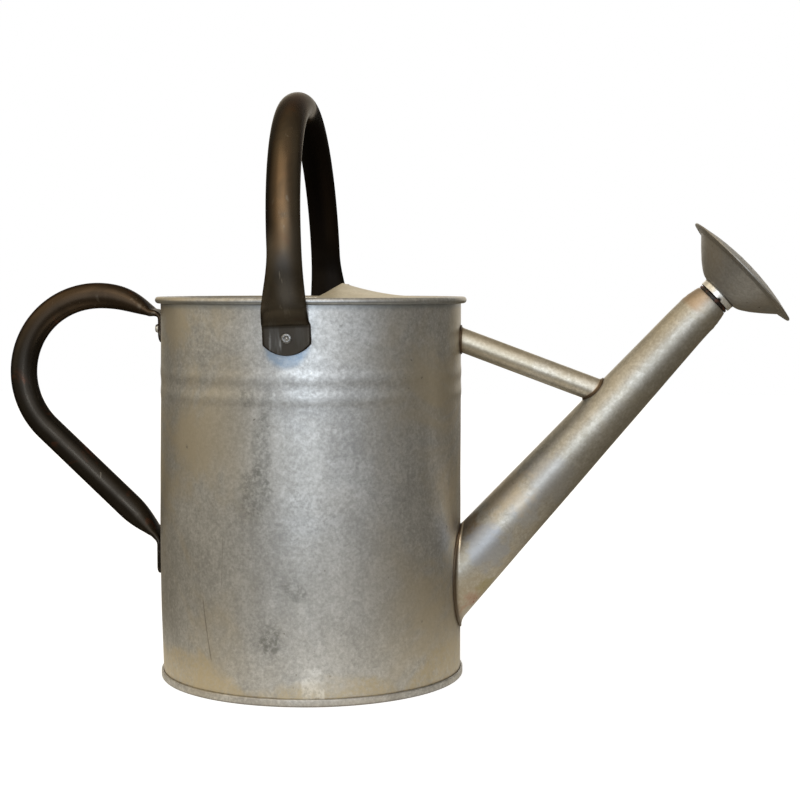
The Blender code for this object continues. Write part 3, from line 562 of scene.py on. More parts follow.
# Marks on the wall: azimuth from the near side towards the spout in degrees, heights in metres
SMUDGES = (
    (-7.6, 0.197, 0.0035, 0.35, 0.30),
    (-9.9, 0.168, 0.0055, 0.30, 0.45),
    (-12.6, 0.138, 0.0090, 0.60, 0.50),
    (1.6, 0.0775, 0.0062, 0.80, 0.50),
    (-6.8, 0.0425, 0.0066, 0.75, 0.72),
    (18.9, 0.2487, 0.0020, 1.00, 0.45),
    (-15.6, 0.2015, 0.0048, 0.80, 0.40),
    (-43.0, 0.1000, 0.0040, 1.00, 0.25),
)
SCRATCHES = (
    (-31.2, -2.157, 9.7, 0.0245, 0.0690, 0.0085, 0.50),
    (40.6, 9.0, 0.0, 0.0218, 0.0240, 0.014, 0.65),
    (43.6, -6.0, 0.0, 0.0135, 0.0158, 0.014, 0.65),
    (-26.5, 0.35, 0.0, 0.074, 0.112, 0.0035, 0.35),
)


def wall_finish():
    """Weathered zinc of the wall, with its smudges, scratches and grime, and with painted shadows,
    a painted highlight and painted reflections.
    """
    made = Finish("galvanised_wall", 0.82)
    z = made.axis("Z")
    turn = made.maths("ARCTAN2", made.axis("Y"), made.axis("X"))
    # Painted reflection: the warm stains are weak where the wall faces the front, under the cool
    # highlight, and strong round the sides, where warm light is reflected.
    warm_share = made.span(made.off(turn, radians(-82)), radians(16), radians(50), 0.10, 0.80)
    made.zinc((0.318, 0.320, 0.325), (0.585, 0.592, 0.602), (0.490, 0.436, 0.338), warm_share,
              0.35, 0.30)
    ragged = made.ragged(110.0)
    mottled = made.span(made.noise(290.0, 4.0, 0.7), 0.36, 0.58)
    for azimuth, height, radius, tall, share in SMUDGES:
        mask = made.blot(spun(BODY_R, radians(azimuth - 90), height), radius, ragged, 2.2,
                         (1.0, 1.0, tall))
        made.lay((0.155, 0.158, 0.148), mask, mottled, share)
    for azimuth, lean, bend, low, high, width, share in SCRATCHES:
        rise = made.maths("SUBTRACT", z, low)
        line = made.scaled(rise, lean, radians(azimuth - 90))
        line = made.scaled(made.times(rise, rise), bend, line)
        away = made.scaled(ragged, width * 0.8, made.off(turn, line))
        made.lay((0.110, 0.100, 0.090), made.span(away, width * 0.3, width, 1.0, 0.0),
                 made.window(z, low, low + 0.004, high - 0.004, high), share)
    made.specks((0.200, 0.190, 0.175))
    # Grime and painted shade: a dark line in the corner just above the foot seam.
    seam_grime_and_shade = made.span(z, BAND_H + 0.0002, BAND_H + 0.0011, 1.0, 0.0)
    made.lay((0.120, 0.090, 0.060), seam_grime_and_shade, 0.75)
    # Painted reflection: warm beige of the floor on the lower wall, round the sides away from the
    # front.
    aside = made.span(made.off(turn, radians(-76)), radians(28), radians(52))
    floor_reflection = made.scaled(z, -22.0, made.times(aside, 0.42))
    floor_reflection = made.maths("ADD", floor_reflection, made.noise(26.0, 4.0, 0.5, 0.5))
    made.lay((0.480, 0.412, 0.285), made.span(floor_reflection, 0.16, 0.40),
             made.span(mottled, 0.0, 1.0, 0.5), 0.74)
    # Painted highlight: a pale spot low on the front of the wall, by the foot.
    foot_highlight = made.blot(spun(BODY_R, radians(7.5 - 90), 0.0135), 0.0062, ragged, 5.0,
                      (1.0, 1.0, 0.8))
    made.lay((0.820, 0.830, 0.840), foot_highlight, mottled, 0.44)
    # Painted shadow: a bluish soft shadow round and below the near ear of the top handle.
    ear_shadow = made.scaled(ragged, 0.003, made.away((BAIL_X - 0.0006, -BODY_R, BAIL_Z - 0.0045)))
    made.lay((0.205, 0.275, 0.370), made.span(ear_shadow, 0.0118, 0.0172, 0.86, 0.0),
             made.span(mottled, 0.0, 1.0, 1.0, 0.74))
    # Painted shadow: a bluish dark band just under the rolled rim.
    rim_shadow = made.window(z, RIM_Z - 0.0066, RIM_Z - 0.0028, RIM_Z - 0.001, RIM_Z + 0.0005)
    made.lay((0.235, 0.260, 0.285), rim_shadow, 0.60)
    # Grime and painted shade in the corners round the spout's and the brace's flanges.
    made.lay((0.085, 0.060, 0.038), made.attribute("crease"), 0.85)
    height = made.scaled(made.swirls, 0.6, made.times(made.grain, 0.4))
    return made.finish(height, 0.28, 0.0004, made.span(made.tone, 0.34, 0.66, 0.43, 0.35))


def base_finish():
    made = Finish("galvanised_foot", 0.80)
    made.zinc((0.330, 0.325, 0.322), (0.590, 0.588, 0.585), (0.420, 0.375, 0.305), 0.36)
    made.specks((0.120, 0.100, 0.080), 340.0)
    made.lay((0.100, 0.085, 0.065), made.span(made.axis("Z"), 0.0003, 0.0016, 1.0, 0.0), 0.6)
    return made.zinc_finish(0.25, 0.0004, 0.50, 0.38)


def hood_finish():
    made = Finish("galvanised_cover", 0.78)
    made.zinc((0.470, 0.415, 0.300), (0.670, 0.610, 0.470), (0.560, 0.475, 0.310), 0.5)
    made.specks((0.190, 0.150, 0.100), 320.0, 0.69)
    return made.zinc_finish(0.14, 0.0003, 0.50, 0.38)


# Stains and painted reflections on the spout, in the can's own frame: centre, radius, share and
# tint.
# The first three, by the foot, are stains; the three cool grey-blue ones along the middle of the
# tube and the beige one on its upper side are painted reflections.
SPOUT_STAINS_AND_REFLECTIONS = (
    ((BODY_R + 0.0220, -0.0150, 0.0600), 0.0085, 0.75, (0.330, 0.290, 0.160)),
    ((BODY_R + 0.0110, -0.0170, 0.0520), 0.0080, 0.65, (0.380, 0.240, 0.180)),
    ((BODY_R + 0.0080, -0.0080, 0.1060), 0.0100, 0.60, (0.240, 0.160, 0.085)),
    ((BODY_R + 0.0200, -0.0210, 0.0930), 0.0130, 0.70, (0.345, 0.365, 0.415)),
    ((BODY_R + 0.0620, -0.0190, 0.1420), 0.0140, 0.50, (0.350, 0.350, 0.365)),
    ((BODY_R + 0.0440, -0.0200, 0.1200), 0.0110, 0.45, (0.390, 0.410, 0.460)),
    ((BODY_R + 0.0330, -0.0120, 0.1290), 0.0150, 0.45, (0.540, 0.440, 0.300)),
)


def spout_finish(name, dark, light):
    """Smoother zinc with heat tints, rust specks at the foot and a brown band by the tip, painted
    reflections along the tube, a painted highlight line on the flange, and grime with painted
    shade where the flange meets the wall.
    """
    made = Finish(name, 0.88)
    made.zinc(dark, light, (0.480, 0.412, 0.292), 0.40)
    z = made.axis("Z")
    ragged = made.ragged(120.0)
    for centre, radius, share, tint in SPOUT_STAINS_AND_REFLECTIONS:
        made.lay(tint, made.blot(centre, radius, ragged, 2.6), share)
    near_foot = made.blot((BODY_R + 0.0205, -0.012, 0.0500), 0.012, ragged, 1.0)
    made.lay((0.200, 0.055, 0.025), made.span(made.noise(520.0, 2.0), 0.60, 0.66), near_foot)
    made.specks((0.150, 0.130, 0.110), 360.0, 0.68)
    made.lay((0.330, 0.225, 0.150), made.attribute("tip"), 0.60)
    foot = made.attribute("foot")
    made.lay((0.170, 0.110, 0.060), foot, made.span(z, 0.096, 0.064, 0.0, 0.45))
    made.lay((0.230, 0.150, 0.085), foot, made.span(z, 0.080, 0.098, 0.0, 1.10))
    # Grime and painted shade: dark where the flange meets the wall.
    made.lay((0.105, 0.070, 0.042), made.span(foot, 0.50, 0.60, 0.0, 0.85))
    # Painted highlight: a bright peach line along the middle of the spout's flange.
    flange_highlight = made.span(made.off(foot, 0.34), 0.10, 0.22, 1.0, 0.0)
    made.lay((1.000, 0.860, 0.660), flange_highlight, made.window(z, 0.090, 0.097, 0.111, 0.115))
    height = made.scaled(made.swirls, 0.7, made.grain)
    return made.finish(height, 0.16, 0.0003, made.span(made.tone, 0.34, 0.66, 0.43, 0.35))


def rose_finish():
    made = Finish("galvanised_rose_zinc", 0.72, place=ROSE_PLACE)
    made.zinc((0.247, 0.240, 0.232), (0.350, 0.343, 0.334), (0.330, 0.276, 0.212), 0.38)
    made.specks((0.090, 0.080, 0.070), 300.0)
    spot = made.away((-0.020, -0.0190, 0.0190))
    made.lay((0.060, 0.055, 0.050), made.span(spot, 0.0008, 0.0022, 0.75, 0.0))
    made.lay((0.085, 0.075, 0.060), made.attribute("joint"), 0.70)
    return made.zinc_finish(0.09, 0.0003, 0.47, 0.38)


def collar_finish():
    made = Finish("bright_collar", 0.62, place=ROSE_PLACE)
    made.zinc((0.640, 0.620, 0.590), (0.860, 0.850, 0.830), (0.700, 0.610, 0.480), 0.30)
    dirt = made.span(made.axis("Z"), BOWL_START - 0.0011, BOWL_START - 0.0002)
    made.lay((0.110, 0.085, 0.060), dirt, 0.7)
    paste = made.maths("SUBTRACT", made.noise(300.0), 0.5)
    made.lay((0.012, 0.009, 0.008),
             made.blot((0.0022, -0.0127, COLLAR_START), 0.0015, paste, 1.4))
    return made.zinc_finish(0.10, 0.0002, 0.30, 0.20)


def thread_finish():
    """Blackened thread with rust showing on its crests."""
    made = Finish("black_thread", 0.35, place=ROSE_PLACE)
    rust = made.span(made.noise(180.0), 0.48, 0.66)
    made.colour = made.mix(rust, (0.014, 0.010, 0.008), (0.120, 0.040, 0.020))
    return made.grain_finish(made.noise(600.0, 4.0), 0.4, 0.0003, 0.30, 0.55)


def rivet_finish(name, dark, light):
    made = Finish(name, 0.80)
    grain = made.noise(900.0, 4.0)
    made.colour = made.mix(made.span(grain, 0.35, 0.65), dark, light)
    return made.grain_finish(grain, 0.35, 0.0003, 0.42, 0.28)


def wire_finish(name, rust):
    made = Finish(name, 0.95)
    grain = made.noise(700.0)
    made.colour = made.mix(made.span(grain, 0.35, 0.65), (0.240, 0.230, 0.215),
                           (0.400, 0.385, 0.360))
    made.lay((0.160, 0.070, 0.035), made.span(made.noise(140.0), 0.55, 0.68), rust)
    return made.grain_finish(grain, 0.2, 0.0002, 0.50, 0.35)


def rubber_finish():
    made = Finish("black_rubber", 0.0, 0.3)
    grain = made.noise(500.0)
    made.colour = made.mix(grain, (0.010, 0.010, 0.010), (0.026, 0.024, 0.022))
    return made.grain_finish(grain, 0.3, 0.0002, 0.85, 0.70)


class Paint(Finish):
    """Dark bronze paint: soft mottling, coppery rubbed places and fine scratches."""

    def __init__(self, name, place=None):
        super().__init__(name, 0.86, 0.4, place)
        self.feed(self.shader, "Specular Tint", (0.24, 0.21, 0.17))
        self.cloud = self.noise(30.0, 4.0, 0.6, 0.6)

    def ground(self, dark, warm, red, *worn):
        self.colour = self.mix(self.times(*worn, self.span(self.cloud, 0.22, 0.46)), dark, warm)
        self.lay(tuple(0.6 * part for part in dark), self.span(self.cloud, 0.50, 0.72, 0.0, 0.5))
        self.lay((0.130, 0.052, 0.032), self.span(self.noise(52.0, 3.0, 0.5, 1.0), 0.60, 0.72),
                 red)
        hair = self.noise(1.0, 2.0, 0.5, 0.0, self.stretched((420.0, 420.0, 24.0),
                                                             (0.1, 0.2, 0.0)))
        self.lay((0.260, 0.230, 0.190), self.span(hair, 0.67, 0.70),
                 self.span(self.noise(40.0), 0.50, 0.60), 0.30)
        self.lay((0.240, 0.215, 0.185), self.attribute("edge"),
                 self.span(self.noise(170.0, 4.0), 0.54, 0.64), 0.40)

    def paint_finish(self, *duller):
        """Roughness of the paint, raised by (mask, rise) pairs."""
        rough = self.span(self.cloud, 0.3, 0.7, 0.23, 0.32)
        for mask, rise in duller:
            rough = self.scaled(mask, rise, rough)
        height = self.scaled(self.cloud, 0.4, self.times(self.noise(520.0), 0.5))
        return self.finish(height, 0.10, 0.0003, rough)


# Scuffs on the near ear, and painted glints and a painted sheen streak on the near leg (the last
# three), in the top handle's own frame: centre, radius, squash upwards, share and grey level
EAR_SCUFFS_AND_GLINTS = (
    ((-0.0085, -EAR_PLANE, 0.001), 0.0032, 0.35, 0.40, 0.062),
    ((-0.0055, -EAR_PLANE, -0.004), 0.0018, 0.35, 0.45, 0.080),
    ((-0.0110, -EAR_PLANE, -0.002), 0.0007, 0.15, 0.45, 0.150),
    ((-0.0042, -EAR_PLANE, -0.003), 0.0005, 0.15, 0.50, 0.200),
    ((0.0085, -EAR_PLANE, 0.002), 0.0030, 0.50, 0.20, 0.060),
    # Painted glints on the near leg, then a painted sheen streak
    ((0.0006, -BAIL_SPREAD, 0.0405), 0.0004, 0.16, 0.60, 0.420),
    ((0.0015, -BAIL_SPREAD, 0.0370), 0.0003, 0.14, 0.70, 0.550),
    ((0.0022, -BAIL_SPREAD, 0.0300), 0.0022, 0.20, 0.22, 0.160),
)


def top_paint():
    """The top handle's paint: rubbed on its crest and dark at the ear, with painted shade on the
    legs' left side, above the ear's step and over the far leg, and painted glints and sheen on the
    near leg.
    """
    made = Paint("bronze_paint_top", BAIL_PLACE)
    x, z = made.axis("X"), made.axis("Z")
    far = made.span(made.axis("Y"), -0.006, 0.014)
    aside = made.off(x, 0.0032)
    made.ground((0.092, 0.078, 0.060), (0.148, 0.097, 0.056), 0.15, made.span(z, 0.035, 0.075),
                made.span(aside, 0.0015, 0.0095, 1.0, 0.0), made.span(z, 0.098, 0.138, 1.0, 0.30))
    # Painted shade: the left side of the legs darker from mid height up, and a little over the
    # arch.
    made.lay((0.012, 0.009, 0.007), made.span(x, -0.0045, 0.0046, 0.86, 0.0),
             made.window(z, 0.056, 0.074, 0.105, 0.150, 0.30))
    # Painted sheen: a pale grey band down the middle of the leg, low down.
    made.lay((0.118, 0.114, 0.114), made.span(aside, 0.0010, 0.0090, 0.90, 0.0),
             made.window(z, 0.015, 0.027, 0.042, 0.060))
    # Painted shadow: a dark band just above the ear's step.
    made.lay((0.012, 0.010, 0.008), made.span(z, 0.0120, 0.0220, 0.66, 0.0),
             made.span(z, 0.0074, 0.0086))
    made.lay((0.019, 0.016, 0.014), made.span(z, 0.0070, 0.0088, 0.78, 0.0))
    ragged = made.ragged(1.0, made.stretched((900.0, 300.0, 80.0)), 0.6)
    for centre, radius, tall, share, level in EAR_SCUFFS_AND_GLINTS:
        made.lay((level, 0.95 * level, 0.89 * level),
                 made.blot(centre, radius, ragged, 3.4, (1.0, 0.05, tall)), share)
    # Painted shade over the far leg.
    made.lay((0.007, 0.005, 0.004), far, 0.92)
    return made.paint_finish((far, 0.38), (made.window(z, 0.040, 0.052, 0.064, 0.078), 0.22))


def rear_paint():
    made = Paint("bronze_paint_rear")
    made.ground((0.034, 0.029, 0.024), (0.060, 0.042, 0.028), 0.40,
                made.span(made.axis("Z"), 0.220, 0.270))
    return made.paint_finish()


# The wall
def bead(z):
    return sum(BEAD_RISE * (1 + cos(pi * min(abs(z - middle) / BEAD_HALF, 1))) / 2
               for middle in BEAD_Z)


def bulge(azimuth, z):
    """How far the knocked wall stands out of round behind."""
    reach = BULGE_TOP - BULGE_Z if z > BULGE_Z else BULGE_Z - BULGE_FOOT
    along = min(abs(z - BULGE_Z) / reach, 1.0)
    across = min(abs(angle_between(azimuth, pi)) / BULGE_HALF, 1.0)
    return BULGE_RISE * cos(pi / 2 * along) * cos(pi / 2 * across) ** 2


# Spots where something is fixed to the wall: azimuth, height, radius kept even
FIXED = (
    (-pi / 2, BAIL_Z, 0.020), (pi / 2, BAIL_Z, 0.020),
    (pi, REAR_UPPER_Z, 0.018), (pi, REAR_LOWER_Z, 0.018),
    (0.0, SPOUT_FOOT_Z + 0.004, 0.044), (0.0, BRACE_Z, 0.013),
)


def even_near_fixings(azimuth, z):
    return min(ease((hypot(BODY_R * angle_between(azimuth, turn), z - height) - radius) / 0.02)
               for turn, height, radius in FIXED)


def ridge(azimuth, z):
    """Soft crease that runs down beside the spout."""
    start, end = [Vector((BODY_R * a, h)) for a, h in RIDGE_ENDS]
    along = end - start
    here = Vector((BODY_R * azimuth, z)) - start
    share = min(max(here.dot(along) / along.length_squared, 0.0), 1.0)
    off = (here - along * share).length
    return RIDGE_RISE * bell(off, RIDGE_WIDTH) * sin(pi * (0.1 + 0.8 * share))


def wall_shift(r, z, azimuth):
    """What wear, beads and the side seam do to the wall's round section."""
    level = z / BODY_R * 0.7
    wave = ripple(azimuth, level, 1.7, 0.00042) + ripple(azimuth, level, 5.5, 0.00013)
    hold = even_near_fixings(azimuth, z) * ease(z / 0.03) * ease((RIM_Z - z) / 0.03)
    move = wave * hold + bulge(azimuth, z)
    if z < RIM_Z - ROLL_R:
        move += ridge(angle_between(azimuth, 0.0), z)
        off = abs(angle_between(azimuth, SEAM_AZIMUTH)) / SEAM_HALF
        if r > BODY_R - SHEET / 2 and z > BAND_H + 0.0008:
            move += SEAM_RISE * ease((1.25 - off) / 0.3)
    return move


def wall_profile():
    """Outer face up, round the curl and back, then down the inner face."""
    low, high = BEAD_Z[1] - BEAD_HALF, BEAD_Z[0] + BEAD_HALF
    neck = RIM_Z - ROLL_R
    outer = [BAND_H + step for step in (-0.003, 0, 0.0012, 0.003)]
    outer += evenly(BAND_H + 0.005, low, 46, 0) + evenly(low, high, 28)
    outer += evenly(high, neck - 0.0035, 12) + [neck - 0.0008, RIM_Z - ROLL_R * 0.5, RIM_Z]
    profile = [(BODY_R + bead(z), z) for z in outer]
    curl = evenly(pi, pi - ROLL_SWEEP, 20, 0)
    for r, angles in ((ROLL_R - SHEET, curl[1:]), (ROLL_R, curl[::-1])):
        profile += [(ROLL_CENTRE + r * cos(a), RIM_Z + r * sin(a)) for a in angles]
    return profile + [(WALL_IN + bead(z), z) for z in outer[-2::-2]]


def wall_angles():
    """Directions round the wall, closer together at the side seam."""
    fine = [SEAM_AZIMUTH + SEAM_HALF * s for s in (-1.3, -1.2, -1.1, -0.95, 0.95, 1.1, 1.2, 1.3)]
    keep = [a for a in turns(300) if abs(angle_between(a, SEAM_AZIMUTH)) > SEAM_HALF * 1.4]
    return sorted(keep + [a % (2 * pi) for a in fine] + [SEAM_AZIMUTH])


def spout_crease(point):
    """Darkening in the corner between the wall and the flange of the spout or the brace: grime and
    painted shade.
    """
    if point.x < 0:
        return 0.0
    spout = (point - SPOUT_START).cross(SPOUT_DIR).length - SPOUT_FOOT_R - 0.0033
    brace = hypot(point.y, (point.z - BRACE_Z) * 0.94) - BRACE_R - 0.0022
    return max(share * bell(max(off, -0.001), CREASE_WIDTH)
               for off, share in ((spout, 1.0), (brace, 0.8)))


def make_wall():
    wall = add_piece("can_wall", lathe(wall_profile(), wall_angles(), wall_shift))
    reach = SPOUT_DIR * BORE_REACH
    settle(wall, [rod(SPOUT_START - reach, SPOUT_START + reach, BORE_R[0], 64, BORE_R[1])])
    paint_points(wall, "crease", spout_crease)
    dress(wall, "can", "galvanised_body", wall_finish(), "body_wall")


def make_base():
    """Raised pan and the double seam that holds it round the wall's foot."""
    out = BODY_R + BAND_RISE
    lip = BODY_R + GAP / 2
    inner = WALL_IN - GAP
    floor_r = inner - SHEET
    seam = fillet([
        (floor_r, PAN_RAISE), (floor_r, SHEET), (inner - SHEET * 0.2, 0),
        (out - SHEET, 0), (out, SHEET), (out, BAND_H - SHEET * 0.6), (out - SHEET * 0.8, BAND_H),
        (lip, BAND_H), (lip, BAND_H - SHEET), (out - SHEET, BAND_H - 2 * SHEET),
        (out - SHEET, SHEET), (inner, SHEET), (inner, PAN_RAISE + SHEET),
    ], BAND_ROUND, 3)
    under = [(0.0, PAN_RAISE - PAN_STEP_H * 0.6), (PAN_MIDDLE_R, PAN_RAISE - PAN_STEP_H),
             (floor_r - PAN_STEP_W - 0.003, PAN_RAISE - PAN_STEP_H),
             (floor_r - PAN_STEP_W, PAN_RAISE), (floor_r - 0.003, PAN_RAISE)]
    top = [(r, z + SHEET) for r, z in reversed(under)]

    def wobble(r, z, azimuth):
        return ripple(azimuth, 3.0, 2.3, 0.00018) * ease(r / BODY_R)

    base = add_piece("can_base", lathe(seam + top + under, turns(240), wobble))
    smooth(base.data, 50)
    dress(base, "can", "galvanised_base", base_finish(), "base_pan")


# The hood
def hood_height(reach, ray_x):
    fall = 1 + HOOD_HOLLOW * max(0.0, ray_x) ** 2
    return WALL_TOP - HOOD_SEAT + HOOD_RISE * (1 - reach) ** fall


def make_hood(material):
    """Half cover over the front of the mouth. Gives back the line of its free edge."""
    rim_r = WALL_IN - GAP - SHEET
    end = acos(HOOD_CORNER / rim_r)
    along = 30
    peak = Vector((HOOD_BACK, 0, 0))
    rows = []
    for angle in evenly(-end, end, 110, 0):
        rim = spun(rim_r, angle)
        ray = (rim - peak).normalized()
        row = []
        for reach in evenly(0, 1, along, 0):
            place = peak.lerp(rim, reach * HOOD_REACH)
            dent = noise.noise(place * 38) * 0.0003 * ease((1 - reach) * 4) * reach
            place.z = hood_height(reach * HOOD_REACH, ray.x) + dent
            row.append(place)
        level = row[-1].z
        for turn in evenly(0, pi / 2, 4):
            row.append(spun(rim_r - HOOD_BEND * (1 - sin(turn)), angle,
                            level - HOOD_BEND * (1 - cos(turn))))
        row += [spun(rim_r, angle, level - HOOD_SKIRT * drop) for drop in (0.6, 1.0)]
        rows.append(row)
    hood = add_piece("can_hood", outward(grid_mesh(rows, False), 1e-6, True))
    thicken(hood, SHEET)
    dress(hood, "can", "galvanised_hood", material, "hood")
    return rows[0][along::-1] + rows[-1][1:along + 1]


def make_hem(edge, material):
    """Folded edge: the sheet turns round and lies back flat under itself."""
    radius = SHEET * 1.02
    middle = SHEET - radius
    low = middle - radius
    fold = [(0.0, SHEET)]
    fold += [(radius * cos(a), middle + radius * sin(a))
             for a in evenly(pi / 2, 3 * pi / 2, 8)[:-1]]
    fold += [(0.0, low), (HOOD_HEM, low), (HOOD_HEM, low + SHEET * 0.9), (0.0, low + SHEET * 0.95)]
    rows = []
    for k, point in enumerate(edge):
        ahead = (edge[min(k + 1, len(edge) - 1)] - edge[max(k - 1, 0)]).normalized()
        inward = Vector((0, 0, 1)).cross(ahead)
        inward = Vector((abs(inward.x), inward.y * copysign(1, inward.x), 0)).normalized()
        rows.append([point + inward * a + Vector((0, 0, b)) for a, b in fold])
    hem = add_piece("can_hood_hem", outward(grid_mesh(rows, caps=True)))
    dress(hem, "can", "galvanised_hood", material)


# Tubes that leave a surface in a flange
def ring_point(centre, direction, radius, angle):
    """Point round a line in the can's middle plane, its angle taken from the underside."""
    side = Vector((0, 1, 0))
    return centre - (direction.cross(side) * cos(angle) - side * sin(angle)) * radius


def cylinder_surface(point):
    """Distance from the wall, a little clear of it, and the wall's normal."""
    flat = Vector((point.x, point.y, 0))
    return flat.length - BODY_R - FLANGE_GAP, flat.normalized()


def cone_surface(point, clearance=FLANGE_GAP):
    """The same for the spout."""
    slope = (SPOUT_FOOT_R - SPOUT_TIP_R) / SPOUT_LENGTH
    tilt = cos(atan(slope))
    along = (point - SPOUT_START).dot(SPOUT_DIR)
    away = point - SPOUT_START - SPOUT_DIR * along
    normal = (away.normalized() + SPOUT_DIR * slope) * tilt
    return (away.length - SPOUT_FOOT_R + slope * along) * tilt - clearance, normal


def meet(start, direction, surface, span):
    near, far = 0.0, span
    for _ in range(40):
        middle = (near + far) / 2
        if surface(start + direction * middle)[0] > 0:
            far = middle
        else:
            near = middle
    return start + direction * far


def flared_end(lines, surface, span, flare, steps, narrow=0.0):
    """Rings that leave a surface flat on it and turn into a tube, nearest the surface first."""
    hits = [meet(start, direction, surface, span) for start, direction in lines]
    centre = sum(hits, Vector()) / len(hits)
    height = max(hit.z for hit in hits) - centre.z
    rings = [[] for _ in range(steps + 1)]
    for k, hit in enumerate(hits):
        along = (hits[(k + 1) % len(hits)] - hits[k - 1]).normalized()
        out = along.cross(surface(hit)[1]).normalized()
        if out.dot(hit - centre) < 0:
            out = -out
        uneven = 1 + 0.10 * noise.noise(hit * 55)
        top = ease((hit.z - centre.z) / height * 4 - 3)
        foot = hit + out * flare * uneven * (1 - narrow * top)
        away, normal = surface(foot)
        foot = foot - normal * away
        above = hit + lines[k][1] * flare
        for i, row in enumerate(rings):
            row.append(curve(foot, hit, above, i / steps))
    return rings


def spout_axis(t):
    over = max(0.0, t - (SPOUT_LENGTH - TIP_DROOP_LENGTH))
    turn = TIP_DROOP * over / TIP_DROOP_LENGTH
    point = SPOUT_START + SPOUT_DIR * t - SPOUT_UP * (over * turn / 2)
    angle = SPOUT_ANGLE - turn
    return point, Vector((cos(angle), 0, sin(angle)))


def spout_radius(t):
    cone = SPOUT_FOOT_R + (SPOUT_TIP_R - SPOUT_FOOT_R) * t / SPOUT_LENGTH
    over = (t - (MOUTH_END - TIP_SHOULDER)) / TIP_SHOULDER
    if over <= 0:
        return cone
    return TIP_MOUTH_R + (cone - TIP_MOUTH_R) * max(0.0, 1 - min(over, 1) ** 1.6) ** 0.75


def spout_inside(t, angle):
    """Point inside the spout, with its lap seam, tool marks by the tip and slight waviness."""
    lap = bell(angle_between(angle, SPOUT_LAP) * spout_radius(t), 0.0011) * 0.00022
    marks = sum(size * bell(t - SPOUT_LENGTH + back, 0.0007) for back, size in TIP_MARKS)
    wave = ripple(angle, t * 14, 1.1, 0.00016) * ease((t - 0.02) / 0.03)
    detail = lap * ease((t - 0.012) / 0.02) + marks + wave * ease((MOUTH_END - t) / 0.02)
    return ring_point(*spout_axis(t), spout_radius(t) - SPOUT_SHEET + detail, angle)


def make_spout():
    angles = turns(112)
    lines = []
    for angle in angles:
        low, high = [ring_point(*spout_axis(t), spout_radius(t) - SPOUT_SHEET, angle)
                     for t in (-SPOUT_FOOT_R * 2, SPOUT_LENGTH / 2)]
        lines.append((low, (high - low).normalized()))
    rings = flared_end(lines, cylinder_surface, SPOUT_LENGTH / 2, SPOUT_FLARE, 12,
                       SPOUT_FLARE_NARROW)
    starts = [(point - SPOUT_START).dot(SPOUT_DIR) for point in rings[-1]]
    for s in evenly(0, 1, 10):
        rings.append([spout_inside(t + (SPOUT_SETTLED - t) * s, angle)
                      for t, angle in zip(starts, angles)])
    shoulder = MOUTH_END - TIP_SHOULDER
    stations = evenly(SPOUT_SETTLED, shoulder, 64)
    stations += [shoulder + TIP_SHOULDER * sin(turn) for turn in evenly(0, pi / 2, 14)]
    rings += [[spout_inside(t, angle) for angle in angles] for t in stations]
    spout = add_piece("can_spout", grid_mesh(rings))
    thicken(spout, SPOUT_SHEET)

    def by_tip(point):
        t = (point - SPOUT_START).dot(SPOUT_DIR)
        up = (point - spout_axis(t)[0]).dot(SPOUT_UP) / TIP_MOUTH_R
        return ease((t - SPOUT_LENGTH + 0.0150) / 0.003) * ease((up + 0.15) / 0.6)

    def by_foot(point):
        return ease((0.0042 - hypot(point.x, point.y) + BODY_R) / 0.0034) * 0.6

    paint_points(spout, "tip", by_tip)
    paint_points(spout, "foot", by_foot)
    material = spout_finish("galvanised_tube", (0.335, 0.316, 0.280), (0.515, 0.500, 0.470))
    dress(spout, "can", "galvanised_spout", material, "spout")


def make_brace():
    direction = Vector((cos(BRACE_ANGLE), 0, sin(BRACE_ANGLE)))
    start = Vector((BODY_R, 0, BRACE_Z)) - direction * BRACE_R * 3
    base = [ring_point(start, direction, BRACE_R - SPOUT_SHEET, angle) for angle in turns(72)]
    wall_end = flared_end([(point, direction) for point in base], cylinder_surface,
                          BRACE_R * 6, BRACE_FLARE, 8)
    reach = (SPOUT_START - start).dot(SPOUT_UP) / direction.dot(SPOUT_UP)
    spout_end = flared_end([(point + direction * reach, -direction) for point in base],
                           cone_surface, reach, BRACE_FLARE, 8)
    middle = [[a.lerp(b, s) for a, b in zip(wall_end[-1], spout_end[-1])]
              for s in evenly(0, 1, 32)[:-1]]
    brace = add_piece("can_brace", grid_mesh(wall_end + middle + spout_end[::-1]))
    thicken(brace, SPOUT_SHEET)

    def by_ends(point):
        off = min(hypot(point.x, point.y) - BODY_R, cone_surface(point, 0.0)[0])
        return ease((0.0030 - off) / 0.0024) * 0.8

    paint_points(brace, "foot", by_ends)
    paint_points(brace, "tip", lambda point: 0.0)
    material = spout_finish("galvanised_brace", (0.420, 0.390, 0.335), (0.690, 0.660, 0.600))
    dress(brace, "can", "galvanised_spout", material, "brace")


# The nipple and the rose
def make_nipple(material):
    """Threaded end with a real right-hand helix."""
    low, high = NIPPLE_SHOULDER_H + GAP, NIPPLE_END
    profile = [(NIPPLE_NECK_R, NIPPLE_FOOT), (NIPPLE_NECK_R, GAP), (NIPPLE_SHOULDER_R, GAP),
               (NIPPLE_SHOULDER_R, low - 0.0001)]
    profile += [(THREAD_R, z) for z in evenly(low, high, 64, 0)]
    profile += [(THREAD_R - 0.0006, high + 0.0003), (NIPPLE_BORE_R, high + 0.0003),
                (NIPPLE_BORE_R, NIPPLE_FOOT)]

    def thread(r, z, angle):
        if r != THREAD_R:
            return 0.0
        turn = (z / THREAD_PITCH - angle / (2 * pi)) % 1.0
        fade = ease((z - low) / 0.0008) * ease((high - z) / 0.0012)
        return THREAD_DEPTH * (abs(turn * 4 - 2) - 1) * fade

    nipple = add_piece("spout_nipple", lathe(profile, turns(96), thread), ROSE_PLACE)
    smooth(nipple.data, 45)
    dress(nipple, "can", "dark_thread", material, "threaded_nipple")


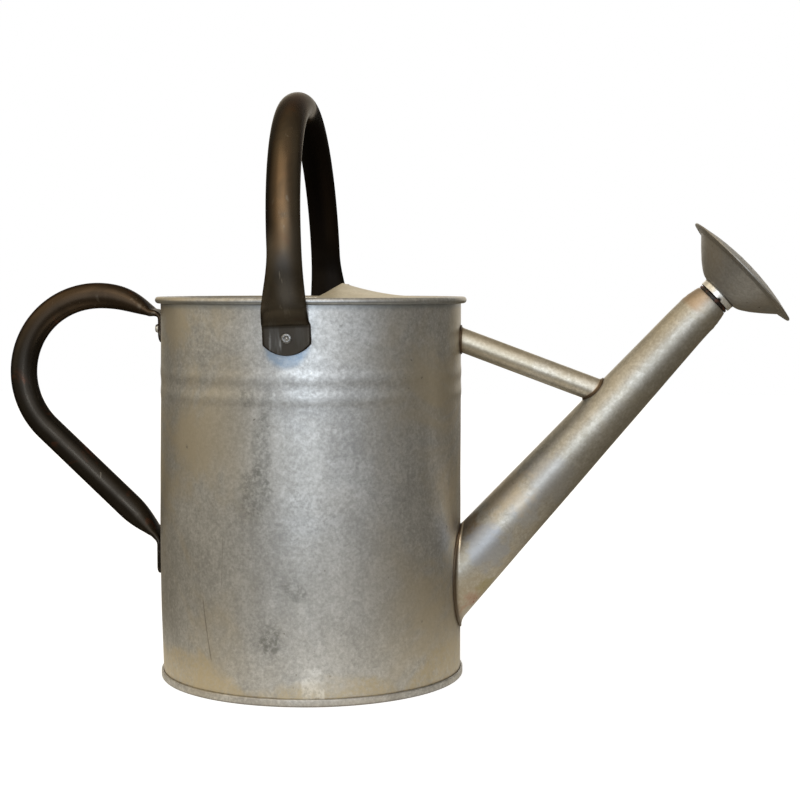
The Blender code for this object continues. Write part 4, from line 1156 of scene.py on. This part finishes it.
def make_paste(material):
    """Blob of black paste that was squeezed out beside the collar."""
    build = bmesh.new()
    bmesh.ops.create_icosphere(build, subdivisions=4, radius=1.0)
    for vert in build.verts:
        vert.co = vert.co * Vector(BLOB_SIZE) * (1 + 0.22 * noise.noise(vert.co * 1.6))
    seat = Matrix.Translation(BLOB_PLACE) @ Matrix.Rotation(pi / 2, 4, "Z")
    place = ROSE_PLACE @ Matrix.Rotation(BLOB_TURN, 4, "Z") @ seat
    dress(add_piece("paste_blob", mesh_of(build), place), "can", "dark_thread", material)


def make_collar():
    step = COLLAR_START + COLLAR_MOUTH_DEPTH
    profile = fillet([
        (NIPPLE_BORE_R, COLLAR_TOP), (NIPPLE_BORE_R, COLLAR_TOP - COLLAR_FLOOR),
        (COLLAR_BORE_R, COLLAR_TOP - COLLAR_FLOOR), (COLLAR_BORE_R, step),
        (COLLAR_MOUTH_R, step), (COLLAR_MOUTH_R, COLLAR_START),
        (COLLAR_R, COLLAR_START), (COLLAR_R, COLLAR_TOP)], COLLAR_ROUND, 4)

    def dent(r, z, angle):
        return ripple(angle, z * 90, 1.9, 0.00006)

    collar = add_piece("rose_cap", lathe(profile, turns(96), dent), ROSE_PLACE)
    dress(collar, "rose", "bright_zinc", collar_finish(), "rose_collar")


def bowl_line(share):
    """Belly of the bowl: radius and height as shares, through a few points of its outline."""
    share = min(max(share, 0.0), 1.0)
    for (r0, u0), (r1, u1) in zip(BOWL_LINE, BOWL_LINE[1:]):
        if share <= r1:
            return u0 + (u1 - u0) * (share - r0) / (r1 - r0)


def soft_bowl(share):
    """The same line with its corners rounded off."""
    if share >= 0.97:
        return bowl_line(share)
    return sum(bowl_line(share + 0.05 * k / 3) for k in range(-3, 4)) / 7


def make_bowl(material):
    """Bowl of the rose, soldered round the collar, with a flat flange at its mouth."""
    neck = COLLAR_R + GAP / 2
    line = [(neck, BOWL_START - 0.0009)]
    line += [(neck + (BOWL_MOUTH_R - neck) * s, BOWL_START + BOWL_DEPTH * soft_bowl(s))
             for s in evenly(0, 1, 40, 0)]
    line += [(BOWL_MOUTH_R + FLANGE_W * s, BOWL_START + BOWL_DEPTH + FLANGE_RISE * s)
             for s in (0.04, 0.12, 0.5, 1.0)]

    def dent(r, z, angle):
        edges = ease((BOWL_MOUTH_R + FLANGE_W - r) / 0.012) * ease((r - neck) / 0.01)
        return ripple(angle, z * 40, 1.4, 0.00025) * edges

    bowl = add_piece("rose_bowl", lathe(line, turns(160), dent, False), ROSE_PLACE)
    thicken(bowl, ROSE_SHEET)

    def corner(point):
        r = hypot(point.x, point.y)
        return max(0.2 * bell(r - BOWL_MOUTH_R, 0.0011), 0.9 * bell(r - neck, 0.0009))

    paint_points(bowl, "joint", corner)
    dress(bowl, "rose", "galvanised_rose", material, "rose_back")


def dome(radius):
    return DOME_RIM_U + DOME_RISE - DOME_R + sqrt(DOME_R ** 2 - radius ** 2)


def circle(centre, radius, count):
    return [centre + Vector((cos(a), sin(a))) * radius for a in turns(count)]


def hole_centres():
    """Middles of the holes: one in the centre, then rings that are turned half a step."""
    centres = [Vector((0, 0))]
    for ring in range(1, HOLE_RINGS + 1):
        start = pi / (6 * ring) * (ring % 2)
        centres += [Vector((cos(a + start), sin(a + start))) * ring * HOLE_RING_STEP
                    for a in turns(6 * ring)]
    return centres


def perforated_disc(centres, rim_count):
    """Points and triangles of a flat disc: joined circles are edges, the rest even it out."""
    circles = [(centres[0], DISC_R, rim_count, True),
               (centres[0], DISC_R - 0.0012, rim_count // 2, False)]
    for centre in centres:
        circles += [(centre, HOLE_R, 14, True), (centre, HOLE_R * 1.45, 14, False),
                    (centre, HOLE_R * 2.3, 12, False)]
    points, edges = [], []
    for centre, radius, count, joined in circles:
        first = len(points)
        points += circle(centre, radius, count)
        if joined:
            edges += [(first + k, first + (k + 1) % count) for k in range(count)]
    flat, _, found = delaunay_2d_cdt(points, edges, [], 0, 1e-7)[:3]
    faces = []
    for face in found:
        middle = sum((flat[i] for i in face), Vector((0, 0))) / len(face)
        if min((middle - centre).length for centre in centres) > HOLE_R * 0.97:
            faces.append(tuple(face))
    return flat, faces


def make_face(material):
    """Domed and punched face, hemmed over the bowl's flange."""
    count = 144
    centres = hole_centres()
    flat, faces = perforated_disc(centres, count)

    def from_holes(x, y):
        return min(hypot(x - centre.x, y - centre.y) for centre in centres) - HOLE_R

    points = [(place.x, place.y, dome(place.length)
               + HOLE_LIP * bell(from_holes(place.x, place.y), 0.0005)) for place in flat]
    edge, under = dome(DISC_R), EDGE_U - ROSE_GAP
    fold = [(DISC_R, edge)]
    for level, angles in ((edge - ROSE_SHEET, evenly(pi / 2, 0, 5)),
                          (under, evenly(0, -pi / 2, 5, 0))):
        fold += [(DISC_R + ROSE_SHEET * cos(a), level + ROSE_SHEET * sin(a)) for a in angles]
    fold += [(DISC_R - HEM * s, under - ROSE_SHEET - FLANGE_SLOPE * HEM * s)
             for s in (0.3, 0.7, 1.0)]
    for i, (r, u) in enumerate(fold):
        low = len(points)
        points += [spun(r, angle, u) for angle in turns(count)]
        if i:
            faces += [(low - count + k, low + k, low + (k + 1) % count,
                       low - count + (k + 1) % count) for k in range(count)]
    mesh = outward(new_mesh(points, faces), 1e-6, True)
    face = add_piece("rose_disc", mesh, ROSE_PLACE)
    thicken(face, ROSE_SHEET, -1)

    def corner(point):
        r = hypot(point.x, point.y)
        return max(0.7 * bell(r - DISC_R + HEM, 0.0012),
                   0.4 * bell(from_holes(point.x, point.y), 0.0005))

    paint_points(face, "joint", corner)
    dress(face, "rose", "galvanised_rose", material, "rose_face")


# The handles
def pressed_section(width, thick):
    """Section of a tube pressed to a thickness, its points evenly spaced round its girth."""
    flat = max(width - thick, 0.0)
    arc = pi * thick / 2
    girth = 2 * flat + 2 * arc
    section = []
    for k in range(TUBE_POINTS):
        s = girth * (k + 0.5) / TUBE_POINTS
        sign = 1
        if s > girth / 2:
            s, sign = girth - s, -1
        if s < flat / 2:
            section.append((sign * s, thick / 2, 0.0))
        elif s < flat / 2 + arc:
            angle = (s - flat / 2) / (thick / 2)
            section.append((sign * (flat / 2 + thick / 2 * sin(angle)),
                            thick / 2 * cos(angle), sin(angle)))
        else:
            section.append((sign * (flat / 2 - (s - flat / 2 - arc)), -thick / 2, 0.0))
    return section


def pressed_width(diameter, ear_width, thick, open_width):
    """Width of a tube pressed to a thickness: its ear's at the flat, its own where open."""
    return open_width + (ear_width - open_width) * (diameter - thick) / (diameter - FLAT_T)


def pinch(distance, length, diameter, step=0.0, power=1.0):
    """Thickness of a tube that opens by a step and then grows to round over a length."""
    if distance <= 0:
        return FLAT_T
    share = min(distance / length, 1.0)
    step *= sin(pi / 2 * min(distance / EAR_STEP_ROUND, 1.0)) ** 0.8
    return FLAT_T + step + (diameter - FLAT_T - step) * sin(pi / 2 * share) ** power


def ear_outline(half, drop):
    """Depths below the rivet, deepest first, and the share of the ear's width at each."""
    corner = asin(min(1.0, half / EAR_ARC_R))
    depths = [EAR_ARC_R * cos(corner * (k + 0.35) / 18) - EAR_ARC_R + drop for k in range(18)]
    top = EAR_ARC_R * cos(corner) - EAR_ARC_R + drop
    outline = []
    for depth in depths + [top, top * 0.6, top * 0.2]:
        reach = EAR_ARC_R ** 2 - (EAR_ARC_R - drop + depth) ** 2
        outline.append((depth, min(1.0, sqrt(max(reach, 0.0)) / half)))
    return outline


def swept(stations, diameter, across, hug=Vector()):
    """Loft of pressed sections along (centre, thickness, width) stations.

    Where the tube is flat, hug bends it round the can's wall, towards which it points.
    """
    rows, worn = [], []
    for k, (centre, thick, width) in enumerate(stations):
        before = stations[max(k - 1, 0)][0]
        after = stations[min(k + 1, len(stations) - 1)][0]
        out = (after - before).normalized().cross(across).normalized()
        width = max(width, thick * 1.02)
        pressed = 1 - (thick - FLAT_T) / (diameter - FLAT_T)
        crown = PRESSED_CROWN * ease((thick - 0.0034) / 0.005)
        flat = ease((0.0052 - thick) / 0.0026)
        row = []
        for a, b, edge in pressed_section(width, thick):
            oval = copysign(thick / 2 * sqrt(max(0.0, 1 - (2 * a / width) ** 2)), b)
            b += (oval - b) * crown
            row.append(centre + across * a + out * b + hug * (a * a / (2 * BODY_R) * flat))
            worn.append(min(1.0, edge * pressed))
        rows.append(row)
    mesh = outward(grid_mesh(rows, caps=True))
    layer = mesh.attributes.new("edge", "FLOAT", "POINT")
    for spot, value in zip(layer.data, worn):
        spot.value = value
    return mesh


def bail_thickness(height):
    return pinch(height - BAIL_EAR_TOP, BAIL_PINCH, BAIL_TUBE_D, BAIL_EAR_STEP, BAIL_PINCH_POWER)


def bail_stations():
    """Stations from the near ear over the top to the far ear, pivot at the origin."""
    face = BODY_R + GAP
    clear = RIM_OUT + 2 * GAP
    rim_h = WALL_TOP - 2 * ROLL_R - BAIL_Z
    span = rim_h - 2 * GAP - BAIL_EAR_TOP
    leg = [(EAR_PLANE, -depth, FLAT_T, share)
           for depth, share in ear_outline(BAIL_EAR_NEAR / 2, BAIL_EAR_DROP)]
    heights = [0.0, 0.003, 0.006, 0.0078] + [BAIL_EAR_TOP + 0.0003 * k for k in range(1, 13)]
    heights += evenly(heights[-1], BAIL_ARCH_START, 40)[:-1]
    for h in heights:
        thick = bail_thickness(h)
        inside = face + (clear - face) * ease((h - BAIL_EAR_TOP) / span)
        rise = ease((h - rim_h) / (BAIL_ARCH_START - rim_h))
        inside += (RIM_OUT + BAIL_CLEAR - clear) * rise
        leg.append((inside + thick / 2, h, thick, 1.0))
    arch = []
    for angle in evenly(0, pi, 84, 0):
        height = BAIL_ARCH_START + BAIL_ARCH_RISE * sin(angle)
        arch.append((BAIL_SPREAD * cos(angle), height, bail_thickness(height), 1.0))
    made = []
    for y, h, thick, share in leg + arch + [(-y, *rest) for y, *rest in reversed(leg)]:
        skew = BAIL_SKEW * y / BAIL_SPREAD * ease((h - BAIL_EAR_TOP) / BAIL_PINCH)
        if y > 0:
            skew -= BAIL_JOG * ease((h - BAIL_EAR_TOP + 0.0006) / 0.0022) * ease(1.2 - h / 0.05)
        ear = BAIL_EAR_NEAR if y > 0 else BAIL_EAR_FAR
        width = pressed_width(BAIL_TUBE_D, ear, thick, BAIL_TUBE_W) * share
        made.append((Vector((skew, -y, h)), thick, width))
    return made


def make_top_handle():
    handle = add_piece("carry_handle", swept(bail_stations(), BAIL_TUBE_D, Vector((1, 0, 0))),
                       BAIL_PLACE)
    settle(handle, [rod((0, side * (EAR_PLANE - FLAT_T), 0), (0, side * (EAR_PLANE + FLAT_T), 0),
                        RIVET_R + GAP, 32) for side in (-1, 1)])
    dress(handle, "bail", "bronze_paint", top_paint(), "top_handle")


def bend_between(start, end_station):
    """Short curve upwards from an ear's flat and into the tube, opening as it goes."""
    end, thick, share = end_station
    corner = start + Vector((0, 0, (end - start).length * 0.55))
    return [(curve(start, corner, end, s), FLAT_T + (thick - FLAT_T) * s ** 1.5, share)
            for s in evenly(0, 1, 7, 0)]


def rear_stations():
    """Stations from the upper ear round the bow to the lower ear, in the can's frame."""
    plate = -EAR_PLANE
    lower_plate = plate - bulge(pi, REAR_LOWER_Z) - 0.0003
    outline = ear_outline(REAR_EAR / 2, REAR_EAR_DROP)
    first = acos((REAR_REACH - FLAT_T * 2.2) / REAR_BOW_R)
    last = 3 * pi / 2 + REAR_RUN_ANGLE
    ear_top = REAR_UPPER_Z + REAR_EAR_RISE
    bow = Vector((-(BODY_R + REAR_REACH), 0, ear_top - REAR_BOW_R * sin(first)))
    corner = ear_top - REAR_NECK_DIP - FLAT_T * 1.6
    made = [(Vector((plate, 0, REAR_UPPER_Z - depth)), FLAT_T, share) for depth, share in outline]
    made += [(Vector((plate, 0, REAR_UPPER_Z + (corner - REAR_UPPER_Z) * s)), FLAT_T, 1.0)
             for s in (0.0, 0.3, 0.6)]
    bow_line = []
    for angle in evenly(first, last, 96, 0):
        away = REAR_BOW_R * (cos(first) - cos(angle)) + FLAT_T / 2
        thick = FLAT_T + (REAR_TUBE_D - FLAT_T) * (1 - exp(-away / REAR_OPENING))
        radius = REAR_BOW_R - thick / 2
        dip = REAR_NECK_DIP * max(0.0, 1 - (angle - first) * REAR_BOW_R / REAR_NECK) ** 2
        bow_line.append((bow + Vector((radius * cos(angle), 0, radius * sin(angle) - dip)),
                         thick, 1.0))
    made += bend_between(Vector((plate, 0, corner - 0.001)), bow_line[1]) + bow_line[2:]
    run = Vector((cos(REAR_RUN_ANGLE), 0, sin(REAR_RUN_ANGLE)))
    start = bow_line[-1][0]
    length = (-EAR_PLANE - FLAT_T - start.x) / run.x
    line = [(start + run * length * s, pinch(length * (1 - s), REAR_LOWER_PINCH, REAR_TUBE_D), 1.0)
            for s in evenly(0, 1, 31)[:-1]]
    stop = Vector((lower_plate, 0, (start + run * length).z - FLAT_T * 1.6))
    made += line[:-2] + bend_between(stop, line[-2])[::-1]
    made += [(Vector((lower_plate, 0, REAR_LOWER_Z + (stop.z - REAR_LOWER_Z) * s)), FLAT_T, 1.0)
             for s in (0.66, 0.33, 0.0)]
    made += [(Vector((lower_plate, 0, REAR_LOWER_Z - depth)), FLAT_T, share)
             for depth, share in reversed(outline)]
    return [(place, thick, share * pressed_width(REAR_TUBE_D, REAR_EAR, thick, REAR_TUBE_D))
            for place, thick, share in made]


def make_rear_handle():
    mesh = swept(rear_stations(), REAR_TUBE_D, Vector((0, 1, 0)), Vector((1, 0, 0)))
    handle = add_piece("back_handle", mesh)
    settle(handle, [rod((-EAR_PLANE - 0.005, 0, z), (-EAR_PLANE + FLAT_T, 0, z), RIVET_R + GAP, 32)
                    for z in (REAR_UPPER_Z, REAR_LOWER_Z)])
    dress(handle, "can", "bronze_paint", rear_paint(), "rear_handle")


# The rivets
def above(level, outline):
    return [(r, level + z) for r, z in outline]


def make_rivet(label, x, z, azimuth, lift, zinc, wire, head_h=RIVET_HEAD_H):
    """Blind rivet with a dimpled head, and the broken stub of its mandrel."""
    ear = BODY_R + GAP + FLAT_T + lift
    inside = WALL_IN - GAP
    tail = inside - RIVET_TAIL_H
    top = ear + head_h
    body = above(top, RIVET_DIMPLE)
    body += [(RIVET_HEAD_R - RIVET_ROUND * (1 - cos(turn)),
              ear + RIVET_SIDE + (head_h - RIVET_SIDE) * sin(turn))
             for turn in evenly(pi / 2, 0, 8, 0)]
    body += [(RIVET_HEAD_R, ear), (RIVET_R, ear), (RIVET_R, inside), (0.0024, inside)]
    body += above(tail, RIVET_TAIL)
    stub = above(top, STUB_TOP) + above(tail, STUB_TAIL)
    place = CAN_PLACE @ Matrix.Translation((x, 0, z)) @ Matrix.Rotation(azimuth, 4, "Z")
    place = place @ Matrix.Rotation(pi / 2, 4, "Y")

    def knocked(r, height, angle):
        if height < ear + 0.0004:
            return 0.0
        return noise.noise(spun(r, angle, height) * 900) * 0.00006

    rivet = add_piece("rivet_head_" + label, lathe(body, turns(48), knocked), place)
    dress(rivet, "can", "bright_zinc", zinc, "rivet_" + label)
    mandrel = add_piece("mandrel_stub_" + label, lathe(stub, turns(28), looped=False), place)
    dress(mandrel, "can", "wire_steel", wire, "mandrel_" + label)


# The floor: white to the camera, with the can's soft shadow. In reflections it is pale round
# the can's foot and darker further away, but for two brighter pools: middle, the distances
# between which each fades out, and colour.
FLOOR_SIZE = 6.0
FLOOR_DROP = 0.0002
FLOOR_GLOW = 0.90
FLOOR_NEAR = (CAN_X + 0.025, -0.045, 0.0)
FLOOR_PALE = (0.13, 0.34)
FLOOR_POOLS = (
    ((0.05, -2.60, 0.0), (0.50, 2.30), (0.98, 1.12, 1.28)),
    ((-1.03, -0.52, 0.0), (0.25, 0.90), (0.11, 0.105, 0.09)),
)


def floor_finish():
    made = Finish("pale_floor", 0.0, 0.1)

    def within(middle, reach):
        return made.span(made.away(middle), reach[1], reach[0])

    near = within(FLOOR_NEAR, FLOOR_PALE)
    glow = made.mix(near, (0, 0, 0), (0.36, 0.34, 0.30))
    for middle, reach, colour in FLOOR_POOLS:
        glow = made.mix(within(middle, reach), glow, colour, "ADD")
    colour = made.mix(near, (0.22, 0.20, 0.16), (0.58, 0.55, 0.48))
    for key, value in (("Roughness", 0.9), ("Base Color", colour), ("Emission Color", glow),
                       ("Emission Strength", 1)):
        made.feed(made.shader, key, value)
    white = made.node("BsdfDiffuse", {"Color": (0.36, 0.36, 0.36)})
    light = made.node("Emission", {"Strength": FLOOR_GLOW})
    made.by_camera(made.node("AddShader", {0: white, 1: light}), made.shader.outputs[0],
                   "Material Output")
    return made.material


def make_floor():
    half = FLOOR_SIZE / 2
    mesh = new_mesh([(-half, -half, 0), (half, -half, 0), (half, half, 0), (-half, half, 0)],
                    [(0, 1, 2, 3)])
    mesh.materials.append(floor_finish())
    add_piece("floor", mesh, Matrix.Translation((0, 0, -FLOOR_DROP)))


# The room round the can: even light, and soft brighter patches in it. Each patch has its
# direction (degrees from the near side towards the spout, and above level), the angles
# between which it fades out, and its colour.
ROOM = (0.180, 0.162, 0.126)
PATCHES = (
    (5, 26, 6, 50, (0.99, 0.97, 0.92)),
    (12, 0, 8, 58, (0.38, 0.45, 0.54)),
    (38, 4, 6, 44, (0.24, 0.24, 0.24)),
    (-72, 4, 10, 58, (0.46, 0.41, 0.32)),
    (-62, 44, 12, 46, (0.56, 0.46, 0.29)),
    (-132, 46, 12, 54, (0.40, 0.33, 0.22)),
    (100, 50, 12, 46, (0.17, 0.14, 0.10)),
    (178, 8, 9, 36, (0.98, 0.94, 0.86)),
    (0, 74, 8, 44, (0.16, 0.13, 0.09)),
)


def room_direction(azimuth, elevation):
    a, e = radians(azimuth), radians(elevation)
    return Vector((sin(a) * cos(e), -cos(a) * cos(e), sin(e)))


def make_world():
    world = bpy.data.worlds.new("studio")
    bpy.context.scene.world = world
    world.use_nodes = True
    made = Nodes(world.node_tree)
    place = made.node("TexCoord", {}, "Generated")
    room = ROOM
    for azimuth, elevation, inner, outer, colour in PATCHES:
        facing = made.vectors("DOT_PRODUCT", place, room_direction(azimuth, elevation), "Value")
        level = made.span(facing, cos(radians(outer)), cos(radians(inner)))
        room = made.mix(level, room, colour, "ADD")
    back = made.node("Background", {"Color": room})
    made.by_camera(made.node("Background", {"Color": (1, 1, 1)}), back, "World Output")


def make_lamp(name, place, aim, size, power, colour):
    data = bpy.data.lights.new(name, "AREA")
    data.shape = "RECTANGLE"
    data.size, data.size_y = size
    data.energy = power
    data.color = colour
    lamp = bpy.data.objects.new(name, data)
    lamp.location = place
    lamp.rotation_euler = (Vector(aim) - Vector(place)).to_track_quat("-Z", "Y").to_euler()
    bpy.context.scene.collection.objects.link(lamp)


def make_lights():
    middle = (CAN_X, 0, 0.16)
    make_lamp("front_strip", Vector(middle) + room_direction(1, 11) * 1.5, middle,
              (0.20, 0.60), 2.2, (0.78, 0.90, 1.0))
    make_lamp("top_warm", (-0.25, -0.9, 1.7), middle, (1.3, 1.3), 4.0, (1.0, 0.92, 0.78))


CAMERA_TURN = radians(5.2)
CAMERA_DIP = radians(3.95)
CAMERA_DISTANCE = 1.190
CAMERA_HEIGHT = 0.2755
CAMERA_ASIDE = -0.0622
CAMERA_LENS = 76.1


def make_camera():
    right = spun(1.0, CAMERA_TURN)
    ahead = spun(1.0, CAMERA_TURN + pi / 2)
    place = Vector((CAN_X, 0, CAMERA_HEIGHT)) - right * CAMERA_ASIDE - ahead * CAMERA_DISTANCE
    data = bpy.data.cameras.new("camera")
    data.lens = CAMERA_LENS
    camera = bpy.data.objects.new("camera", data)
    camera.location = place
    camera.rotation_euler = (pi / 2 - CAMERA_DIP, 0, CAMERA_TURN)
    bpy.context.scene.collection.objects.link(camera)
    bpy.context.scene.camera = camera


def redress(node, material):
    """Gives a solid of the frame that keeps its shape a finer material."""
    mesh = frame["nodes"][node].data
    mesh.materials.clear()
    mesh.materials.append(material)


def build():
    make_wall()
    make_base()
    cover = hood_finish()
    make_hem(make_hood(cover), cover)
    make_spout()
    make_brace()
    thread = thread_finish()
    make_nipple(thread)
    make_paste(thread)
    make_collar()
    rose_material = rose_finish()
    make_bowl(rose_material)
    make_face(rose_material)
    make_top_handle()
    make_rear_handle()
    zinc = rivet_finish("rivet_zinc", (0.150, 0.150, 0.152), (0.300, 0.300, 0.305))
    bright = rivet_finish("rivet_bright", (0.600, 0.600, 0.600), (0.860, 0.860, 0.850))
    stub = wire_finish("broken_mandrel", 0.15)
    make_rivet("bail_near", BAIL_X, BAIL_Z, -pi / 2, 0.0, zinc, stub)
    make_rivet("bail_far", BAIL_X, BAIL_Z, pi / 2, 0.0, zinc, stub)
    make_rivet("rear_upper", 0.0, REAR_UPPER_Z, pi, 0.0, bright, stub, RIVET_TALL_H)
    make_rivet("rear_lower", 0.0, REAR_LOWER_Z, pi, bulge(pi, REAR_LOWER_Z), bright, stub)
    redress("rim_wire", wire_finish("drawn_wire", 1.0))
    redress("rose_washer", rubber_finish())


build()
make_floor()
make_world()
make_lights()
make_camera()
bpy.context.scene.view_settings.view_transform = "Standard"
